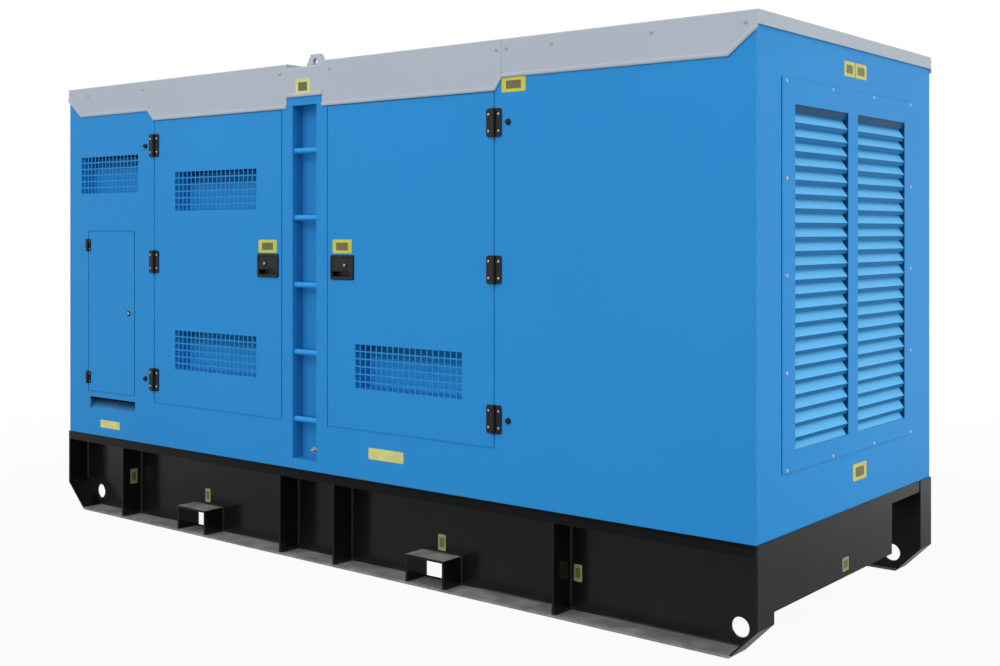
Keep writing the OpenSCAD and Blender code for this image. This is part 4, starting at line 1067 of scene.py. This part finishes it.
class StageShader(Wiring):
    """Node tree of the floor or the sky: one shader for the light and one for the eye."""

    def shader(self, kind, rgb, strength=None):
        """The output of a shader of one colour."""
        made = self.node(kind)
        made.inputs["Color"].default_value = (*rgb, 1.0)
        if strength is not None:
            made.inputs["Strength"].default_value = strength
        return made.outputs[0]

    def direct_rays(self):
        """Two sockets: 1 for rays from the camera, and 1 for rays off polished faces or through
        glass. Both are 0 for the light that falls on things."""
        path = self.node("ShaderNodeLightPath").outputs
        polished = self.combined("MAXIMUM", path["Is Glossy Ray"], path["Is Transmission Ray"])
        return path["Is Camera Ray"], polished

    def shown(self, shares, to_light, to_eye, output):
        """The shader for the eye in the larger of two shares, and the one for the light in the
        rest."""
        mix = self.node("ShaderNodeMixShader")
        self.link(self.combined("MAXIMUM", *shares), mix.inputs["Fac"])
        self.link(to_light, mix.inputs[1])
        self.link(to_eye, mix.inputs[2])
        self.link(mix.outputs[0], self.node(output).inputs["Surface"])


class GENSET_OT_stage(GensetOperator, bpy.types.Operator):
    """Set the floor, the lamps, the sky and the camera"""

    bl_idname = "genset.stage"
    bl_label = "Stage"

    def sky(self, settings):
        """A bluish sky that lights the set, and that shows as plain white."""
        world = bpy.data.worlds.new("studio_sky")
        bpy.context.scene.world = world
        world.use_nodes = True
        wiring = StageShader(world.node_tree)
        light = wiring.shader("ShaderNodeBackground", (0.94, 0.97, 1.0), settings.sky)
        white = wiring.shader("ShaderNodeBackground", (1.0, 1.0, 1.0), 1.0)
        wiring.shown(wiring.direct_rays(), light, white, "ShaderNodeOutputWorld")

    def floor(self, settings):
        """A square floor that is plain pale to the light and nearly white to the eye, so that it
        keeps a soft shadow. Polished faces see it greyer near the set than far off."""
        r = settings.floor_radius
        mesh = bpy.data.meshes.new("floor")
        mesh.from_pydata([(-r, -r, 0), (r, -r, 0), (r, r, 0), (-r, r, 0)], [], [(0, 1, 2, 3)])
        floor = bpy.data.objects.new("floor", mesh)
        bpy.context.scene.collection.objects.link(floor)
        material = bpy.data.materials.new("pale_floor")
        material.use_nodes = True
        mesh.materials.append(material)
        wiring = StageShader(material.node_tree)
        matt = wiring.shader("ShaderNodeBsdfDiffuse", (0.20, 0.20, 0.20))
        glow = wiring.shader("ShaderNodeEmission", (1.0, 1.0, 1.0), 1.0)
        distance = wiring.node("ShaderNodeVectorMath", operation="LENGTH")
        wiring.link(wiring.node("ShaderNodeTexCoord").outputs["Object"], distance.inputs[0])
        fade_start, fade_end = 2.0, 6.0
        shares = []
        for ray, share_near in zip(wiring.direct_rays(), (0.95, 0.25)):
            fade = wiring.ranged(distance.outputs["Value"], share_near, 1.0, fade_start, fade_end,
                                 interpolation_type="SMOOTHSTEP")
            shares.append(wiring.combined("MULTIPLY", ray, fade))
        wiring.shown(shares, matt, glow, "ShaderNodeOutputMaterial")

    def lamp(self, name, power_value, size, place, aim, glossy=True):
        """An area lamp turned about X and then Z, so that its face looks from its place to the
        aim. Polished faces mirror it only where it is glossy."""
        data = bpy.data.lights.new(name, "AREA")
        data.shape = "RECTANGLE"
        data.size, data.size_y = size
        data.energy = power_value
        lamp = bpy.data.objects.new(name, data)
        bpy.context.scene.collection.objects.link(lamp)
        across, along, up = np.array(aim, float) - np.array(place, float)
        lamp.location = place
        lamp.rotation_euler = (
            math.atan2(math.hypot(across, along), -up), 0.0,
            math.atan2(along, across) - math.pi / 2)
        lamp.visible_camera = False
        lamp.visible_glossy = glossy

    def camera(self):
        """A level camera at eye height before the right front corner."""
        data = bpy.data.cameras.new("camera")
        data.sensor_width = 36.0
        data.lens = 46.68
        data.shift_y = -0.102
        data.clip_end = 200.0
        camera = bpy.data.objects.new("camera", data)
        bpy.context.scene.collection.objects.link(camera)
        camera.location = (4.0787, -4.7366, 1.461)
        camera.rotation_euler = (math.radians(90.0), 0.0, math.radians(38.76))
        bpy.context.scene.camera = camera

    def execute(self, context):
        settings = context.scene.genset_stage
        self.sky(settings)
        self.floor(settings)
        lamps = (
            ("overhead_lamp", settings.overhead, (9.0, 6.0), (0.9, -0.9, 5.0), (0.9, -0.899, 1.0)),
            ("side_lamp", settings.side, (9.0, 5.0), (0.7, -9.0, 7.5), (1.0, -0.8, 1.0)),
            ("end_lamp", settings.end, (6.0, 5.0), (9.0, 0.8, 8.0), (2.0, 0.0, 1.2)))
        fills = (
            ("side_fill", settings.side_fill, (9.0, 1.2), (-0.6, -7.0, 0.9), (-0.6, -0.8, 0.8)),
            ("end_fill", settings.end_fill, (5.0, 1.2), (6.9, 0.4, 0.9), (2.0, 0.4, 0.6)))
        for lamp in lamps:
            self.lamp(*lamp)
        for fill in fills:
            self.lamp(*fill, glossy=False)
        self.camera()
        bpy.context.scene.view_settings.view_transform = "Standard"
        return {"FINISHED"}


class GENSET_PT_finish(bpy.types.Panel):
    """Steps and settings of the generator set's finish"""

    bl_idname = "GENSET_PT_finish"
    bl_label = "Generator Set"
    bl_space_type = "VIEW_3D"
    bl_region_type = "UI"
    bl_category = "Genset"

    def draw(self, context):
        layout = self.layout
        for operator in STEPS:
            layout.operator(operator.bl_idname)
        for name in ("genset_paint", "genset_hardware", "genset_stage"):
            group = getattr(context.scene, name)
            box = layout.box()
            for key in group.__annotations__:
                box.prop(group, key)


STEPS = (
    GENSET_OT_paint_frame, GENSET_OT_grille_bars, GENSET_OT_hinge_screws,
    GENSET_OT_panel_screws, GENSET_OT_roof_hems, GENSET_OT_latches, GENSET_OT_access_locks,
    GENSET_OT_seals, GENSET_OT_buffers, GENSET_OT_earth_studs, GENSET_OT_labels,
    GENSET_OT_welds, GENSET_OT_stage)
SETTINGS = {
    "genset_paint": GensetPaintSettings,
    "genset_hardware": GensetHardwareSettings,
    "genset_stage": GensetStageSettings,
}


def register():
    for group in SETTINGS.values():
        bpy.utils.register_class(group)
    for name, group in SETTINGS.items():
        setattr(bpy.types.Scene, name, bpy.props.PointerProperty(type=group))
    for operator in STEPS:
        bpy.utils.register_class(operator)
    bpy.utils.register_class(GENSET_PT_finish)


def unregister():
    bpy.utils.unregister_class(GENSET_PT_finish)
    for operator in reversed(STEPS):
        bpy.utils.unregister_class(operator)
    for name, group in SETTINGS.items():
        delattr(bpy.types.Scene, name)
        bpy.utils.unregister_class(group)


def main():
    register()
    for operator in STEPS:
        family, step = operator.bl_idname.split(".")
        getattr(getattr(bpy.ops, family), step)()


if __name__ == "__main__":
    main()
